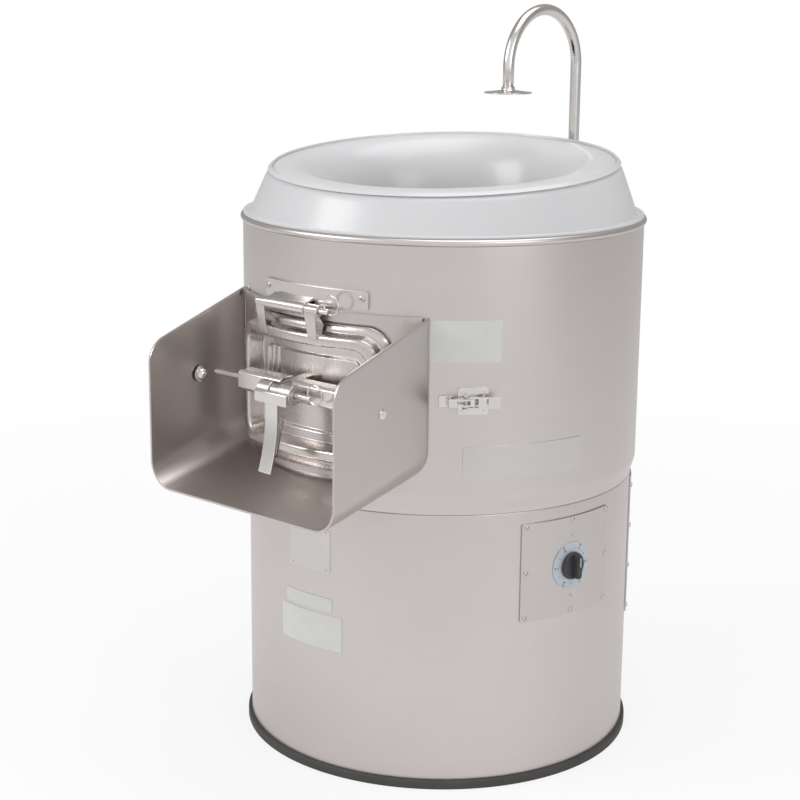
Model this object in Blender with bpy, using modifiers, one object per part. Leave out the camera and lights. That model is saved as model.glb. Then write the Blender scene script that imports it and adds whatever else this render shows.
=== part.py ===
# Electric potato peeler: a floor-standing drum with an abrasive disc, a lift-up discharge door and a timer.
# Run with: blender --background --python part.py
# Frame: metres, +Z up, origin on the drum axis at floor level, the discharge chute towards -Y.
# Angles round the drum are counted from -Y towards +X.

import math

import bmesh
import bpy
from mathutils import Matrix, Vector

# Fits and overruns
GAP = 0.0003                    # running or seating gap between two pieces that touch
OVERRUN = 0.012                 # how far a cutter runs past what it cuts
DRUM_STEPS = 48                 # facets round the drum and all that is concentric with it
TURN_STEPS = 24                 # facets round turned pieces of hand size
SMALL_STEPS = 12                # facets round pins, studs and rods
ARC_POINTS = 5                  # points on a quarter round of an outline

# Drum: base, lower cabinet and hopper shell
DRUM_RADIUS = 0.280
HOPPER_SHEET = 0.003
CABINET_STEP = 0.006            # how far the cabinet stands inside the hopper drum
CABINET_RADIUS = DRUM_RADIUS - CABINET_STEP
CABINET_SHEET = 0.002
CABINET_LIP = 0.018
SEAM_HEIGHT = 0.384
SHOULDER_HEIGHT = 0.026
HOPPER_HEIGHT = 0.357           # from the seam to the rim
RIM_HEIGHT = SEAM_HEIGHT + HOPPER_HEIGHT
RIM_BEAD = 0.0046
BASE_LEDGE = 0.0055
BASE_RADIUS = CABINET_RADIUS + BASE_LEDGE
BASE_HEIGHT = 0.012
BASE_WIDTH = 0.0175
BASE_PLATE = 0.004
VENT_LENGTH = 0.090
VENT_WIDTH = 0.010
VENT_RADIUS = 0.180
VENT_COUNT = 6

# Hopper floor, bearings and shaft
FLOOR_SHEET = 0.004
FLOOR_RISE = 0.012
FLOOR_CHANNEL = 0.050
HUB_BORE = 0.030
OUTLET_RADIUS = 0.020
OUTLET_WALL = 0.002
OUTLET_DROP = 0.062
OUTLET_REACH = 0.045
OUTLET_ANGLE = -150.0
SHAFT_RADIUS = 0.0125
SHAFT_COLLAR = 0.004
SHAFT_COLLAR_HEIGHT = 0.010
BEARING_RADIUS = 0.026
BEARING_HEIGHT = 0.015
BEARING_WALL = 0.008
HOUSING_HEIGHT = 0.084
HOUSING_FLANGE = 0.058
HOUSING_FLANGE_THICK = 0.008
HOUSING_SHOULDER = 0.006
SEAL_HEIGHT = 0.007

# Abrasive disc and lining
DISC_ROOM = 0.012
DISC_RADIUS = CABINET_RADIUS - DISC_ROOM
DISC_CLEARANCE = 0.012
DISC_THICK = 0.016
DISC_WAVE = 0.014
DISC_LOBES = 3
DISC_HUB_RADIUS = 0.032
DISC_HUB_DEPTH = 0.014
DISC_RINGS = 6
DISC_SEAT_RADIUS = 0.060
NUT_RADIUS = 0.022
NUT_HEIGHT = 0.014
DOME_HEIGHT = 0.016
LINER_THICK = 0.003
LINER_RISE = 0.0283
LINER_BOTTOM = SEAM_HEIGHT + LINER_RISE
LINER_DROP = 0.041
LINER_TOP = RIM_HEIGHT - LINER_DROP

# Drive
DRIVE_DROP = 0.160
DRIVE_PLATE_HEIGHT = SEAM_HEIGHT - DRIVE_DROP
DRIVE_PLATE = 0.004
DRIVE_PLATE_HOLE = 0.060
MOTOR_ANGLE = -90.0
MOTOR_DISTANCE = 0.155
MOTOR_RADIUS = 0.070
MOTOR_HEIGHT = 0.128
MOTOR_BEVEL = 0.008
MOTOR_SHAFT_RADIUS = 0.0095
MOTOR_FINS = 24
LARGE_PULLEY = 0.110
SMALL_PULLEY = 0.032
PULLEY_HEIGHT = 0.022
PULLEY_DROP = 0.034
PULLEY_BOTTOM = DRIVE_PLATE_HEIGHT - PULLEY_DROP
PULLEY_GROOVE = 0.006
BELT_THICK = 0.008
BELT_HEIGHT = 0.010
PULLEY_WEB = 0.006
PULLEY_RIM = 0.016
PULLEY_HOLES = 5
PULLEY_HOLE = 0.015

# Feed collar
COLLAR_WALL = 0.003
COLLAR_INSET = 0.010
COLLAR_RADIUS = DRUM_RADIUS - COLLAR_INSET
COLLAR_SLOPE = 0.024
COLLAR_SHOULDER = COLLAR_RADIUS - COLLAR_SLOPE
COLLAR_BROW = 0.032
COLLAR_CREST_RADIUS = COLLAR_SHOULDER - COLLAR_BROW
COLLAR_FUNNEL = 0.054
COLLAR_THROAT = COLLAR_CREST_RADIUS - COLLAR_FUNNEL
COLLAR_RISE = 0.077
COLLAR_CREST = RIM_HEIGHT + COLLAR_RISE
COLLAR_SHOULDER_DROP = 0.016
COLLAR_BROW_TURN = 65.0
COLLAR_THROAT_DEPTH = 0.085
COLLAR_LEDGE = 0.0095
COLLAR_SPIGOT = 0.026
COLLAR_TILT = 0.085
COLLAR_TILT_ANGLE = 200.0
COLLAR_POINTS = 4

# Door, pressed from sheet
DOOR_SHEET = 0.002
DOOR_HALF = 0.1330
DOOR_HEAD = 0.110               # from the rim down to the door
DOOR_TOP = RIM_HEIGHT - DOOR_HEAD
DOOR_SILL = 0.050               # from the seam up to the door
DOOR_BOTTOM = SEAM_HEIGHT + DOOR_SILL
DOOR_CORNER = 0.034
DOOR_FLANGE_WIDTH = 0.0120
DOOR_BEAD_HEIGHT = 0.0130
DOOR_BEAD_WIDTH = 0.0210
DOOR_BEAD_SLOPE = 0.0045
DOOR_RECESS = 0.0075
DOOR_STEP = 0.0040
DOOR_LEDGE = 0.0120
DOOR_SIDE_POINTS = 8
DOOR_SHRINK_SHARES = (0.66, 0.33)
DOOR_OPENING_MARGIN = 0.0225
DOOR_OPENING_CORNER = 0.024
GASKET_WIDTH = 0.009
GASKET_THICK = 0.0027
GASKET_INSET = 0.0020

# Chute and door header
CHUTE_WIDTH = 0.333
CHUTE_SHEET = 0.003
CHUTE_REACH = 0.120
CHUTE_FRONT = DRUM_RADIUS + CHUTE_REACH
CHUTE_ABOVE = 0.015             # over the top of the door, where the wall meets the drum
CHUTE_TOP = DOOR_TOP + CHUTE_ABOVE
CHUTE_TOP_FALL = 0.328
CHUTE_LIFT = 0.0145
CHUTE_FLOOR = SEAM_HEIGHT + CHUTE_LIFT
CHUTE_FLOOR_RISE = 0.217
CHUTE_BEND = 0.034
CHUTE_NOSE = 0.036
CHUTE_DEPTH = 0.080             # how far its sheet runs in before it is trimmed to the drum
CHUTE_BACK = DRUM_RADIUS - CHUTE_DEPTH
HEADER_THICK = 0.0045
HEADER_GAP = 0.003
HEADER_BOTTOM = DOOR_TOP + HEADER_GAP
HEADER_HEIGHT = 0.013

# Hinge of the door
HINGE_STAND = 0.015             # from the drum out to the hinge pin
HINGE_RISE = 0.017
HINGE_Y = -(DRUM_RADIUS + HINGE_STAND)
HINGE_Z = DOOR_TOP + HINGE_RISE
BARREL_RADIUS = 0.0090
KNUCKLE_RADIUS = 0.0075
PIN_RADIUS = 0.0040
BARREL_LEFT = -0.049
BARREL_RIGHT = 0.021
KNUCKLE_LEFT = -0.067
KNUCKLE_RIGHT = 0.044
PIN_LEFT = -0.071
PIN_RIGHT = 0.056
BRACKET_LEFT = -0.075
BRACKET_RIGHT = 0.100
BRACKET_LIFT = 0.004
BRACKET_HEIGHT = 0.024
BRACKET_BOTTOM = HINGE_Z + BRACKET_LIFT
BRACKET_TOP = BRACKET_BOTTOM + BRACKET_HEIGHT
BRACKET_THICK = 0.003
PULL_RING_RADIUS = 0.0125
PULL_RING_WIRE = 0.0012
RING_LEAN = 50.0
LATCH_RING_LEAN = 28.0
RING_HOLE_SHARE = 0.55

# Latch on the door
LATCH_STAND = 0.045             # from the drum out to the latch pin
LATCH_LIFT = 0.0075             # from the middle of the door up to the latch pin
LATCH_Y = -(DRUM_RADIUS + LATCH_STAND)
LATCH_Z = (DOOR_TOP + DOOR_BOTTOM) / 2 + LATCH_LIFT
BAR_BACK = 0.025                # from the latch pin back to the middle of the bars
BAR_Y = LATCH_Y + BAR_BACK
BAR_SIZE = 0.028
BAR_CHAMFER = 0.004
BAR_INNER = 0.0100
BAR_OUTER = 0.0895
BAR_RISE = 0.0035
ROD_BACK = 0.028
ROD_Y = LATCH_Y + ROD_BACK
ROD_RADIUS = 0.0040
ROD_DEPTH = 0.012
LUG_HALF = 0.0080
LUG_RADIUS = 0.0110
EAR_OUTER = 0.030
EAR_RADIUS = 0.0135
HANDLE_WIDTH = 0.023
HANDLE_THICK = 0.004
HANDLE_CLEAR = 0.003
HANDLE_BOTTOM = DOOR_BOTTOM + HANDLE_CLEAR
GRIP_SHARES = ((0.0, 0.5), (0.35, 0.7), (0.7, 1.6), (1.0, 4.0))     # share of the drop; thicknesses out
GRIP_RIB_SHARE = 0.72
LATCH_PIN_RADIUS = 0.0040
LATCH_PIN_LEFT = -0.036
LATCH_PIN_RIGHT = 0.057

# Strike bolts in the chute walls
STRIKE_BACK = 0.012
STRIKE_DROP = 0.003
STRIKE_Y = LATCH_Y + STRIKE_BACK
STRIKE_Z = LATCH_Z - STRIKE_DROP
STRIKE_RADIUS = 0.0040
DOME_RADIUS = 0.0085
DOME_LENGTH = 0.0095
ROD_ROOM = 0.0035               # between a latch rod and the domed nut
ROD_END = CHUTE_WIDTH / 2 - CHUTE_SHEET - DOME_LENGTH - ROD_ROOM
WASHER_RADIUS = 0.0110
WASHER_THICK = 0.0015
HEX_RADIUS = 0.0075
HEX_HEIGHT = 0.0050

# Timer
PANEL_FROM = 63.4
PANEL_TO = 96.5
PANEL_DROP = 0.0175
PANEL_HEIGHT = 0.1365
PANEL_TOP = SEAM_HEIGHT - PANEL_DROP
PANEL_BOTTOM = PANEL_TOP - PANEL_HEIGHT
PANEL_THICK = 0.0020
PANEL_CORNER = 0.003
PANEL_OPENING_MARGIN = 0.014
TIMER_ANGLE = 80.4
TIMER_RISE = 0.068
TIMER_Z = PANEL_BOTTOM + TIMER_RISE
DIAL_RADIUS = 0.033
DIAL_THICK = 0.0010
KNOB_RADIUS = 0.019
KNOB_HEIGHT = 0.016
KNOB_GRIP = 0.009
TIMER_SHAFT = 0.0030
TIMER_BOSS = 0.0060
TIMER_BOX = 0.052
TIMER_BOX_DEPTH = 0.042

# Side access panel
SIDE_FROM = 121.5
SIDE_TO = 154.0
SIDE_DROP = 0.008
SIDE_HEIGHT = 0.205
SIDE_TOP = SEAM_HEIGHT - SIDE_DROP
SIDE_BOTTOM = SIDE_TOP - SIDE_HEIGHT

# Toggle latch on the hopper
TOGGLE_DROP = 0.2025            # from the rim down to the toggle latch
TOGGLE_Z = RIM_HEIGHT - TOGGLE_DROP
TOGGLE_ANGLE = 48.5
TOGGLE_LENGTH = 0.040
TOGGLE_HEIGHT = 0.036
TOGGLE_PLATE = 0.0020
TOGGLE_WIDTH = 0.0145
TOGGLE_PIN = 0.0014
TOGGLE_EAR = 0.0045
TOGGLE_THROW = 0.0095
TOGGLE_GRIP = 0.013
TOGGLE_REACH = 0.012
HOOK_RISE_SHARE = 0.6
HOOK_LIP_SHARE = 0.9

# Rinse pipe
PIPE_STAND = 0.025              # from the drum out to the rinse pipe
PIPE_Y = DRUM_RADIUS + PIPE_STAND
PIPE_RADIUS = 0.008
PIPE_WALL = 0.0012
PIPE_ARCH = 0.082
PIPE_OVER = 0.197
PIPE_ARCH_Z = RIM_HEIGHT + PIPE_OVER
PIPE_DROP = 0.044
PIPE_BOTTOM = SEAM_HEIGHT - PIPE_DROP
PIPE_BEND = 0.024
PIPE_RUN = 0.038
PIPE_INLET = CABINET_RADIUS - PIPE_RUN
TIP_DROP = 0.032
PIPE_TIP = PIPE_ARCH_Z - TIP_DROP
SPLASH_RADIUS = 0.0345
SPLASH_THICK = 0.0015
CLIP_DROP = 0.081
CLIP_LIFT = 0.066
CLIP_HEIGHTS = (RIM_HEIGHT - CLIP_DROP, SEAM_HEIGHT + CLIP_LIFT)
CLIP_WIDTH = 0.014
CLIP_THICK = 0.002
GROMMET_RADIUS = 0.014
PIPE_ARCH_POINTS = 18
VALVE_SIZE = 0.034
COIL_SHARE = 0.42

# Finishes: colour, roughness, metallic
STEEL = ((0.56, 0.52, 0.50), 0.34, 1.0)
BRIGHT = ((0.66, 0.64, 0.62), 0.18, 1.0)
DULL = ((0.42, 0.41, 0.40), 0.45, 1.0)
CAST = ((0.30, 0.30, 0.31), 0.55, 0.8)
COLLAR_FINISH = ((0.68, 0.68, 0.69), 0.28, 0.0)
BLACK = ((0.02, 0.02, 0.02), 0.45, 0.0)
RUBBER = ((0.03, 0.03, 0.03), 0.75, 0.0)
GREY = ((0.30, 0.34, 0.38), 0.5, 0.0)
STONE = ((0.16, 0.15, 0.14), 0.9, 0.0)

for old in list(bpy.data.objects):
    bpy.data.objects.remove(old, do_unlink=True)
MODEL = bpy.data.collections.new("electric_potato_peeler")
CUTTERS = bpy.data.collections.new("cutters")
bpy.context.scene.collection.children.link(MODEL)
bpy.context.scene.collection.children.link(CUTTERS)


# Helpers

def finish_of(name, finish):
    """A Principled material of its own for one piece."""
    colour, roughness, metallic = finish
    material = bpy.data.materials.new(name + "_finish")
    material.use_nodes = True
    shader = material.node_tree.nodes["Principled BSDF"]
    shader.inputs["Base Color"].default_value = (*colour, 1.0)
    shader.inputs["Roughness"].default_value = roughness
    shader.inputs["Metallic"].default_value = metallic
    material.diffuse_color = (*colour, 1.0)
    return material


def add(name, mesh, finish):
    """Link a mesh as a piece of the model, or as a cutter where it has no finish."""
    piece = bpy.data.objects.new(name, mesh)
    if finish is None:
        CUTTERS.objects.link(piece)
        piece.hide_render = True
        piece.display_type = "WIRE"
    else:
        MODEL.objects.link(piece)
        mesh.materials.clear()
        mesh.materials.append(finish_of(name, finish))
    return piece


def turned(name, profile, finish, steps=TURN_STEPS, ring=False, place=None):
    """Revolve (radius, height) points, listed down the outer side from the top.

    A ring's points go on up its inner side, and the last joins the first.
    """
    edges = [(i, i + 1) for i in range(len(profile) - 1)]
    if ring:
        edges.append((len(profile) - 1, 0))
    mesh = bpy.data.meshes.new(name)
    mesh.from_pydata([(radius, 0.0, height) for radius, height in profile], edges, [])
    piece = add(name, mesh, finish)
    screw = piece.modifiers.new("turn", "SCREW")
    screw.steps = steps
    screw.render_steps = steps
    screw.use_merge_vertices = True
    screw.merge_threshold = 0.00001
    screw.use_smooth_shade = True
    if place is not None:
        piece.matrix_world = place
    return piece


def tube_profile(outer, inner, bottom, top):
    """Closed section of a plain ring."""
    return [(outer, top), (outer, bottom), (inner, bottom), (inner, top)]


def solid_profile(radius, bottom, top, round_edge=0.0):
    """Section of a solid cylinder on the axis, with a chamfer on its top edge."""
    if not round_edge:
        return [(0.0, top), (radius, top), (radius, bottom), (0.0, bottom)]
    return [(0.0, top), (radius - round_edge, top), (radius, top - round_edge), (radius, bottom), (0.0, bottom)]


def to_mesh(curve_object, name, finish):
    """Replace a curve object by its mesh, with the caps welded on."""
    bpy.context.view_layer.update()
    depsgraph = bpy.context.evaluated_depsgraph_get()
    mesh = bpy.data.meshes.new_from_object(curve_object.evaluated_get(depsgraph))
    mesh.name = name
    work = bmesh.new()
    work.from_mesh(mesh)
    bmesh.ops.remove_doubles(work, verts=work.verts, dist=0.00001)
    bmesh.ops.recalc_face_normals(work, faces=work.faces)
    work.to_mesh(mesh)
    work.free()
    place = curve_object.matrix_world.copy()
    curve = curve_object.data
    bpy.data.objects.remove(curve_object, do_unlink=True)
    bpy.data.curves.remove(curve)
    piece = add(name, mesh, finish)
    piece.matrix_world = place
    return piece


def flat(name, outlines, thick, finish, place=None):
    """A flat piece of even thickness, centred on its own XY plane; later outlines are its holes."""
    curve = bpy.data.curves.new(name, "CURVE")
    curve.dimensions = "2D"
    curve.fill_mode = "BOTH"
    curve.extrude = thick / 2
    for outline in outlines:
        spline = curve.splines.new("POLY")
        spline.points.add(len(outline) - 1)
        for point, (x, y) in zip(spline.points, outline):
            point.co = (x, y, 0.0, 1.0)
        spline.use_cyclic_u = True
    holder = bpy.data.objects.new(name + "_outline", curve)
    CUTTERS.objects.link(holder)
    if place is not None:
        holder.matrix_world = place
    return to_mesh(holder, name, finish)


def wire(name, points, radius, finish, sides=3, loop=False):
    """A round bar along a path, with filled caps; sides is the bevel resolution."""
    curve = bpy.data.curves.new(name, "CURVE")
    curve.dimensions = "3D"
    curve.bevel_depth = radius
    curve.bevel_resolution = sides
    curve.use_fill_caps = True
    spline = curve.splines.new("POLY")
    spline.points.add(len(points) - 1)
    for point, place in zip(spline.points, points):
        point.co = (*place, 1.0)
    spline.use_cyclic_u = loop
    holder = bpy.data.objects.new(name + "_path", curve)
    CUTTERS.objects.link(holder)
    piece = to_mesh(holder, name, finish)
    piece.data.shade_smooth()
    return piece


def block(name, size, centre, finish, bevel=0.0):
    """A box of the given size, with its edges chamfered where a bevel is given."""
    mesh = bpy.data.meshes.new(name)
    work = bmesh.new()
    bmesh.ops.create_cube(work, size=1.0)
    bmesh.ops.scale(work, vec=Vector(size), verts=work.verts)
    bmesh.ops.translate(work, vec=Vector(centre), verts=work.verts)
    work.to_mesh(mesh)
    work.free()
    piece = add(name, mesh, finish)
    if bevel:
        rounding = piece.modifiers.new("edges", "BEVEL")
        rounding.width = bevel
        rounding.segments = 1
    return piece


def rod(name, radius, start, end, finish, steps=SMALL_STEPS):
    """A round bar between two points."""
    first = Vector(start)
    along = Vector(end) - first
    mesh = bpy.data.meshes.new(name)
    work = bmesh.new()
    bmesh.ops.create_cone(work, cap_ends=True, segments=steps, radius1=radius, radius2=radius, depth=along.length)
    bmesh.ops.translate(work, vec=Vector((0.0, 0.0, along.length / 2)), verts=work.verts)
    work.to_mesh(mesh)
    work.free()
    piece = add(name, mesh, finish)
    turn = Vector((0.0, 0.0, 1.0)).rotation_difference(along.normalized())
    piece.matrix_world = Matrix.Translation(first) @ turn.to_matrix().to_4x4()
    piece.data.shade_smooth()
    piece.data.set_sharp_from_angle(angle=math.radians(40.0))
    return piece


def combine(piece, other, operation):
    """Cut, join or trim a piece by another object, which becomes a cutter."""
    if other.name in MODEL.objects:
        MODEL.objects.unlink(other)
        CUTTERS.objects.link(other)
        other.hide_render = True
        other.display_type = "WIRE"
    step = piece.modifiers.new(operation.lower(), "BOOLEAN")
    step.operation = operation
    step.solver = "EXACT"
    step.object = other
    return piece


def cut(piece, other):
    return combine(piece, other, "DIFFERENCE")


def join(piece, other):
    return combine(piece, other, "UNION")


def trim(piece, other):
    return combine(piece, other, "INTERSECT")


def arc(centre_x, centre_y, radius, start, end, points=ARC_POINTS):
    """Points on an arc, angles in degrees, both ends included."""
    out = []
    for i in range(points + 1):
        angle = math.radians(start + (end - start) * i / points)
        out.append((centre_x + radius * math.cos(angle), centre_y + radius * math.sin(angle)))
    return out


def circle(centre_x, centre_y, radius, points=SMALL_STEPS):
    """Points on a full circle, counter-clockwise."""
    return arc(centre_x, centre_y, radius, 0.0, 360.0, points)[:-1]


def rounded_box(left, right, bottom, top, corner, points=ARC_POINTS):
    """Outline of a rectangle with round corners, counter-clockwise from the lower right."""
    out = arc(right - corner, bottom + corner, corner, -90.0, 0.0, points)
    out += arc(right - corner, top - corner, corner, 0.0, 90.0, points)
    out += arc(left + corner, top - corner, corner, 90.0, 180.0, points)
    out += arc(left + corner, bottom + corner, corner, 180.0, 270.0, points)
    return out


def facing(angle, radius, height):
    """A place on the drum: local X round the drum, local Y up, local Z outwards."""
    turn = math.radians(angle)
    side = Vector((math.cos(turn), math.sin(turn), 0.0))
    out = Vector((math.sin(turn), -math.cos(turn), 0.0))
    up = Vector((0.0, 0.0, 1.0))
    place = Matrix((side, up, out)).transposed().to_4x4()
    place.translation = out * radius + up * height
    return place


def wrapped(along, height, radius):
    """A point at a given arc length along the drum's surface, at any radius."""
    turn = along / DRUM_RADIUS
    return Vector((radius * math.sin(turn), -radius * math.cos(turn), height))


def patch(name, angle, half, bottom, top, corner, inner, outer, finish):
    """A plate curved with the drum: a ring trimmed by a rounded rectangle that faces outwards."""
    ring = turned(name, tube_profile(outer, inner, bottom - OVERRUN, top + OVERRUN), finish,
                  steps=DRUM_STEPS, ring=True)
    middle = (bottom + top) / 2
    outline = rounded_box(-half, half, bottom - middle, top - middle, corner)
    depth = outer - inner * math.cos(half / inner) + OVERRUN
    mould = flat(name + "_mould", [outline], depth, None, facing(angle, outer + OVERRUN / 2 - depth / 2, middle))
    return trim(ring, mould)


def window(piece, name, angle, half, bottom, top, corner, radius, depth):
    """Cut a rounded window through a curved wall."""
    middle = (bottom + top) / 2
    outline = rounded_box(-half, half, bottom - middle, top - middle, corner)
    hole = flat(name, [outline], depth, None, facing(angle, radius, middle))
    return cut(piece, hole)


# Sizes worked out from the ones above
FLOOR_SEAT = SEAM_HEIGHT + GAP
HOPPER_INNER = DRUM_RADIUS - HOPPER_SHEET
CABINET_INNER = CABINET_RADIUS - CABINET_SHEET
FLOOR_EDGE = CABINET_RADIUS - HOPPER_SHEET - GAP
FLOOR_UNDER = FLOOR_SEAT + FLOOR_RISE
FLOOR_HUB = FLOOR_UNDER + FLOOR_SHEET
CHANNEL_RADIUS = FLOOR_EDGE - FLOOR_CHANNEL / 2
HOUSING_BOTTOM = FLOOR_UNDER - GAP - HOUSING_HEIGHT
SEAL_BOTTOM = FLOOR_HUB + GAP
SHOULDER_TOP = SEAL_BOTTOM + SHAFT_COLLAR_HEIGHT
DISC_BOTTOM = FLOOR_HUB + DISC_CLEARANCE + DISC_HUB_DEPTH
DISC_SEAT = DISC_BOTTOM + DISC_THICK
PULLEY_TOP = PULLEY_BOTTOM + PULLEY_HEIGHT
MOTOR_X = MOTOR_DISTANCE * math.sin(math.radians(MOTOR_ANGLE))
MOTOR_Y = -MOTOR_DISTANCE * math.cos(math.radians(MOTOR_ANGLE))
MOTOR_BOTTOM = DRIVE_PLATE_HEIGHT + DRIVE_PLATE + GAP
CABINET_BOTTOM = BASE_HEIGHT + GAP
OPENING_HALF = DOOR_HALF - DOOR_OPENING_MARGIN
OPENING_TOP = DOOR_TOP - DOOR_OPENING_MARGIN
OPENING_BOTTOM = DOOR_BOTTOM + DOOR_OPENING_MARGIN
OUTLET_X = CHANNEL_RADIUS * math.sin(math.radians(OUTLET_ANGLE))
OUTLET_Y = -CHANNEL_RADIUS * math.cos(math.radians(OUTLET_ANGLE))
OUTLET_END = CABINET_RADIUS + OUTLET_REACH
TIMER_HALF = CABINET_RADIUS * math.sin(math.radians(PANEL_TO - PANEL_FROM) / 2)
SIDE_HALF = CABINET_RADIUS * math.sin(math.radians(SIDE_TO - SIDE_FROM) / 2)
TIMER_PANEL_ANGLE = (PANEL_FROM + PANEL_TO) / 2
SIDE_PANEL_ANGLE = (SIDE_FROM + SIDE_TO) / 2


# Base and lower cabinet

def base():
    """Rubber ring that the cabinet stands on, and the vented plate inside it."""
    turned("base_ring", tube_profile(BASE_RADIUS, BASE_RADIUS - BASE_WIDTH, 0.0, BASE_HEIGHT), RUBBER,
           steps=DRUM_STEPS, ring=True)
    plate = turned("base_plate", solid_profile(BASE_RADIUS - BASE_WIDTH - GAP, 0.0, BASE_PLATE), DULL,
                   steps=DRUM_STEPS)
    slot = rounded_box(-VENT_LENGTH / 2, VENT_LENGTH / 2, -VENT_WIDTH / 2, VENT_WIDTH / 2, VENT_WIDTH / 2)
    for i in range(VENT_COUNT):
        turn = Matrix.Rotation(2 * math.pi * (i + 1 / 2) / VENT_COUNT, 4, "Z")
        cut(plate, flat(f"vent_{i + 1}", [slot], OVERRUN * 2, None,
                        turn @ Matrix.Translation((0.0, VENT_RADIUS, BASE_PLATE / 2))))


def outlet_route():
    """Centre line of the peel outlet: down from the floor channel, round a bend and out."""
    out = Vector((OUTLET_X, OUTLET_Y, 0.0)).normalized()
    down = Vector((0.0, 0.0, -1.0))
    start = Vector((OUTLET_X, OUTLET_Y, FLOOR_SEAT - GAP))
    corner = start + down * OUTLET_DROP
    bend = OUTLET_DROP / 2
    centre = corner - down * bend + out * bend
    route = [start]
    for i in range(ARC_POINTS + 1):
        turn = math.radians(90.0 * i / ARC_POINTS)
        route.append(centre + down * (bend * math.sin(turn)) - out * (bend * math.cos(turn)))
    route.append(out * OUTLET_END + Vector((0.0, 0.0, corner.z)))
    return route


def cabinet():
    """Lower drum of thin sheet with an inward lip at its top, open behind both panels."""
    lip = CABINET_INNER - CABINET_LIP
    profile = [(CABINET_RADIUS, SEAM_HEIGHT), (CABINET_RADIUS, CABINET_BOTTOM), (CABINET_INNER, CABINET_BOTTOM),
               (CABINET_INNER, SEAM_HEIGHT - CABINET_SHEET), (lip, SEAM_HEIGHT - CABINET_SHEET), (lip, SEAM_HEIGHT)]
    shell = turned("lower_body", profile, STEEL, steps=DRUM_STEPS, ring=True)
    margin = PANEL_OPENING_MARGIN
    depth = OVERRUN * 4
    window(shell, "timer_window", TIMER_PANEL_ANGLE, TIMER_HALF - margin, PANEL_BOTTOM + margin,
           PANEL_TOP - margin, margin / 2, CABINET_RADIUS, depth)
    window(shell, "side_window", SIDE_PANEL_ANGLE, SIDE_HALF - margin, SIDE_BOTTOM + margin,
           SIDE_TOP - margin, margin / 2, CABINET_RADIUS, depth)
    route = outlet_route()
    route[0] += Vector((0.0, 0.0, OVERRUN))
    cut(shell, wire("outlet_hole", route, OUTLET_RADIUS + OUTLET_WALL + GAP * 2, None))
    cut(shell, rod("pipe_hole", GROMMET_RADIUS - GROMMET_RADIUS / 4, (0.0, CABINET_INNER - OVERRUN, PIPE_BOTTOM),
                   (0.0, CABINET_RADIUS + OVERRUN, PIPE_BOTTOM), None, steps=TURN_STEPS))


def drain():
    """Peel outlet: a bent tube from the floor channel out through the rear of the cabinet."""
    route = outlet_route()
    pipe = wire("peel_outlet", route, OUTLET_RADIUS + OUTLET_WALL, DULL)
    start = route[0] + Vector((0.0, 0.0, OVERRUN))
    end = route[-1] + (route[-1] - route[-2]).normalized() * OVERRUN
    cut(pipe, wire("peel_outlet_bore", [start] + route[1:-1] + [end], OUTLET_RADIUS, None))


# Hopper shell, floor and lining

def hopper():
    """Upper drum with a shoulder at the seam and a rolled rim, open behind the door."""
    top = RIM_HEIGHT
    roll = [(DRUM_RADIUS - RIM_BEAD / 4 + x, top + z) for x, z in arc(0.0, 0.0, RIM_BEAD, 90.0, -90.0, 6)]
    profile = roll + [(DRUM_RADIUS, top - RIM_BEAD), (DRUM_RADIUS, SEAM_HEIGHT + SHOULDER_HEIGHT),
                      (CABINET_RADIUS, FLOOR_SEAT), (CABINET_RADIUS - HOPPER_SHEET, FLOOR_SEAT),
                      (HOPPER_INNER, SEAM_HEIGHT + SHOULDER_HEIGHT), (HOPPER_INNER, top + RIM_BEAD / 2)]
    shell = turned("hopper_shell", profile, STEEL, steps=DRUM_STEPS, ring=True)
    window(shell, "door_opening", 0.0, OPENING_HALF, OPENING_BOTTOM, OPENING_TOP, DOOR_OPENING_CORNER,
           DRUM_RADIUS, OVERRUN * 6)
    lining = turned("abrasive_liner", tube_profile(HOPPER_INNER - GAP, HOPPER_INNER - GAP - LINER_THICK,
                                                   LINER_BOTTOM, LINER_TOP), STONE, steps=DRUM_STEPS, ring=True)
    margin = LINER_THICK
    window(lining, "liner_opening", 0.0, OPENING_HALF + margin, OPENING_BOTTOM - margin, OPENING_TOP + margin,
           DOOR_OPENING_CORNER + margin, HOPPER_INNER, OVERRUN * 6)


def hopper_floor():
    """Dished floor with a channel round its edge, a bore for the shaft and a peel hole."""
    inner = FLOOR_EDGE - FLOOR_CHANNEL
    slope = FLOOR_RISE * 2
    profile = [(inner - slope, FLOOR_HUB), (inner, FLOOR_SEAT + FLOOR_SHEET), (FLOOR_EDGE, FLOOR_SEAT + FLOOR_SHEET),
               (FLOOR_EDGE, FLOOR_SEAT), (inner - FLOOR_SHEET / 2, FLOOR_SEAT),
               (inner - slope - FLOOR_SHEET / 2, FLOOR_UNDER), (HUB_BORE, FLOOR_UNDER), (HUB_BORE, FLOOR_HUB)]
    floor = turned("hopper_floor", profile, STEEL, steps=DRUM_STEPS, ring=True)
    cut(floor, rod("peel_hole", OUTLET_RADIUS - OUTLET_WALL, (OUTLET_X, OUTLET_Y, FLOOR_SEAT - OVERRUN),
                   (OUTLET_X, OUTLET_Y, FLOOR_SEAT + OVERRUN), None))


# Bearings, shaft and abrasive disc

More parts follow.
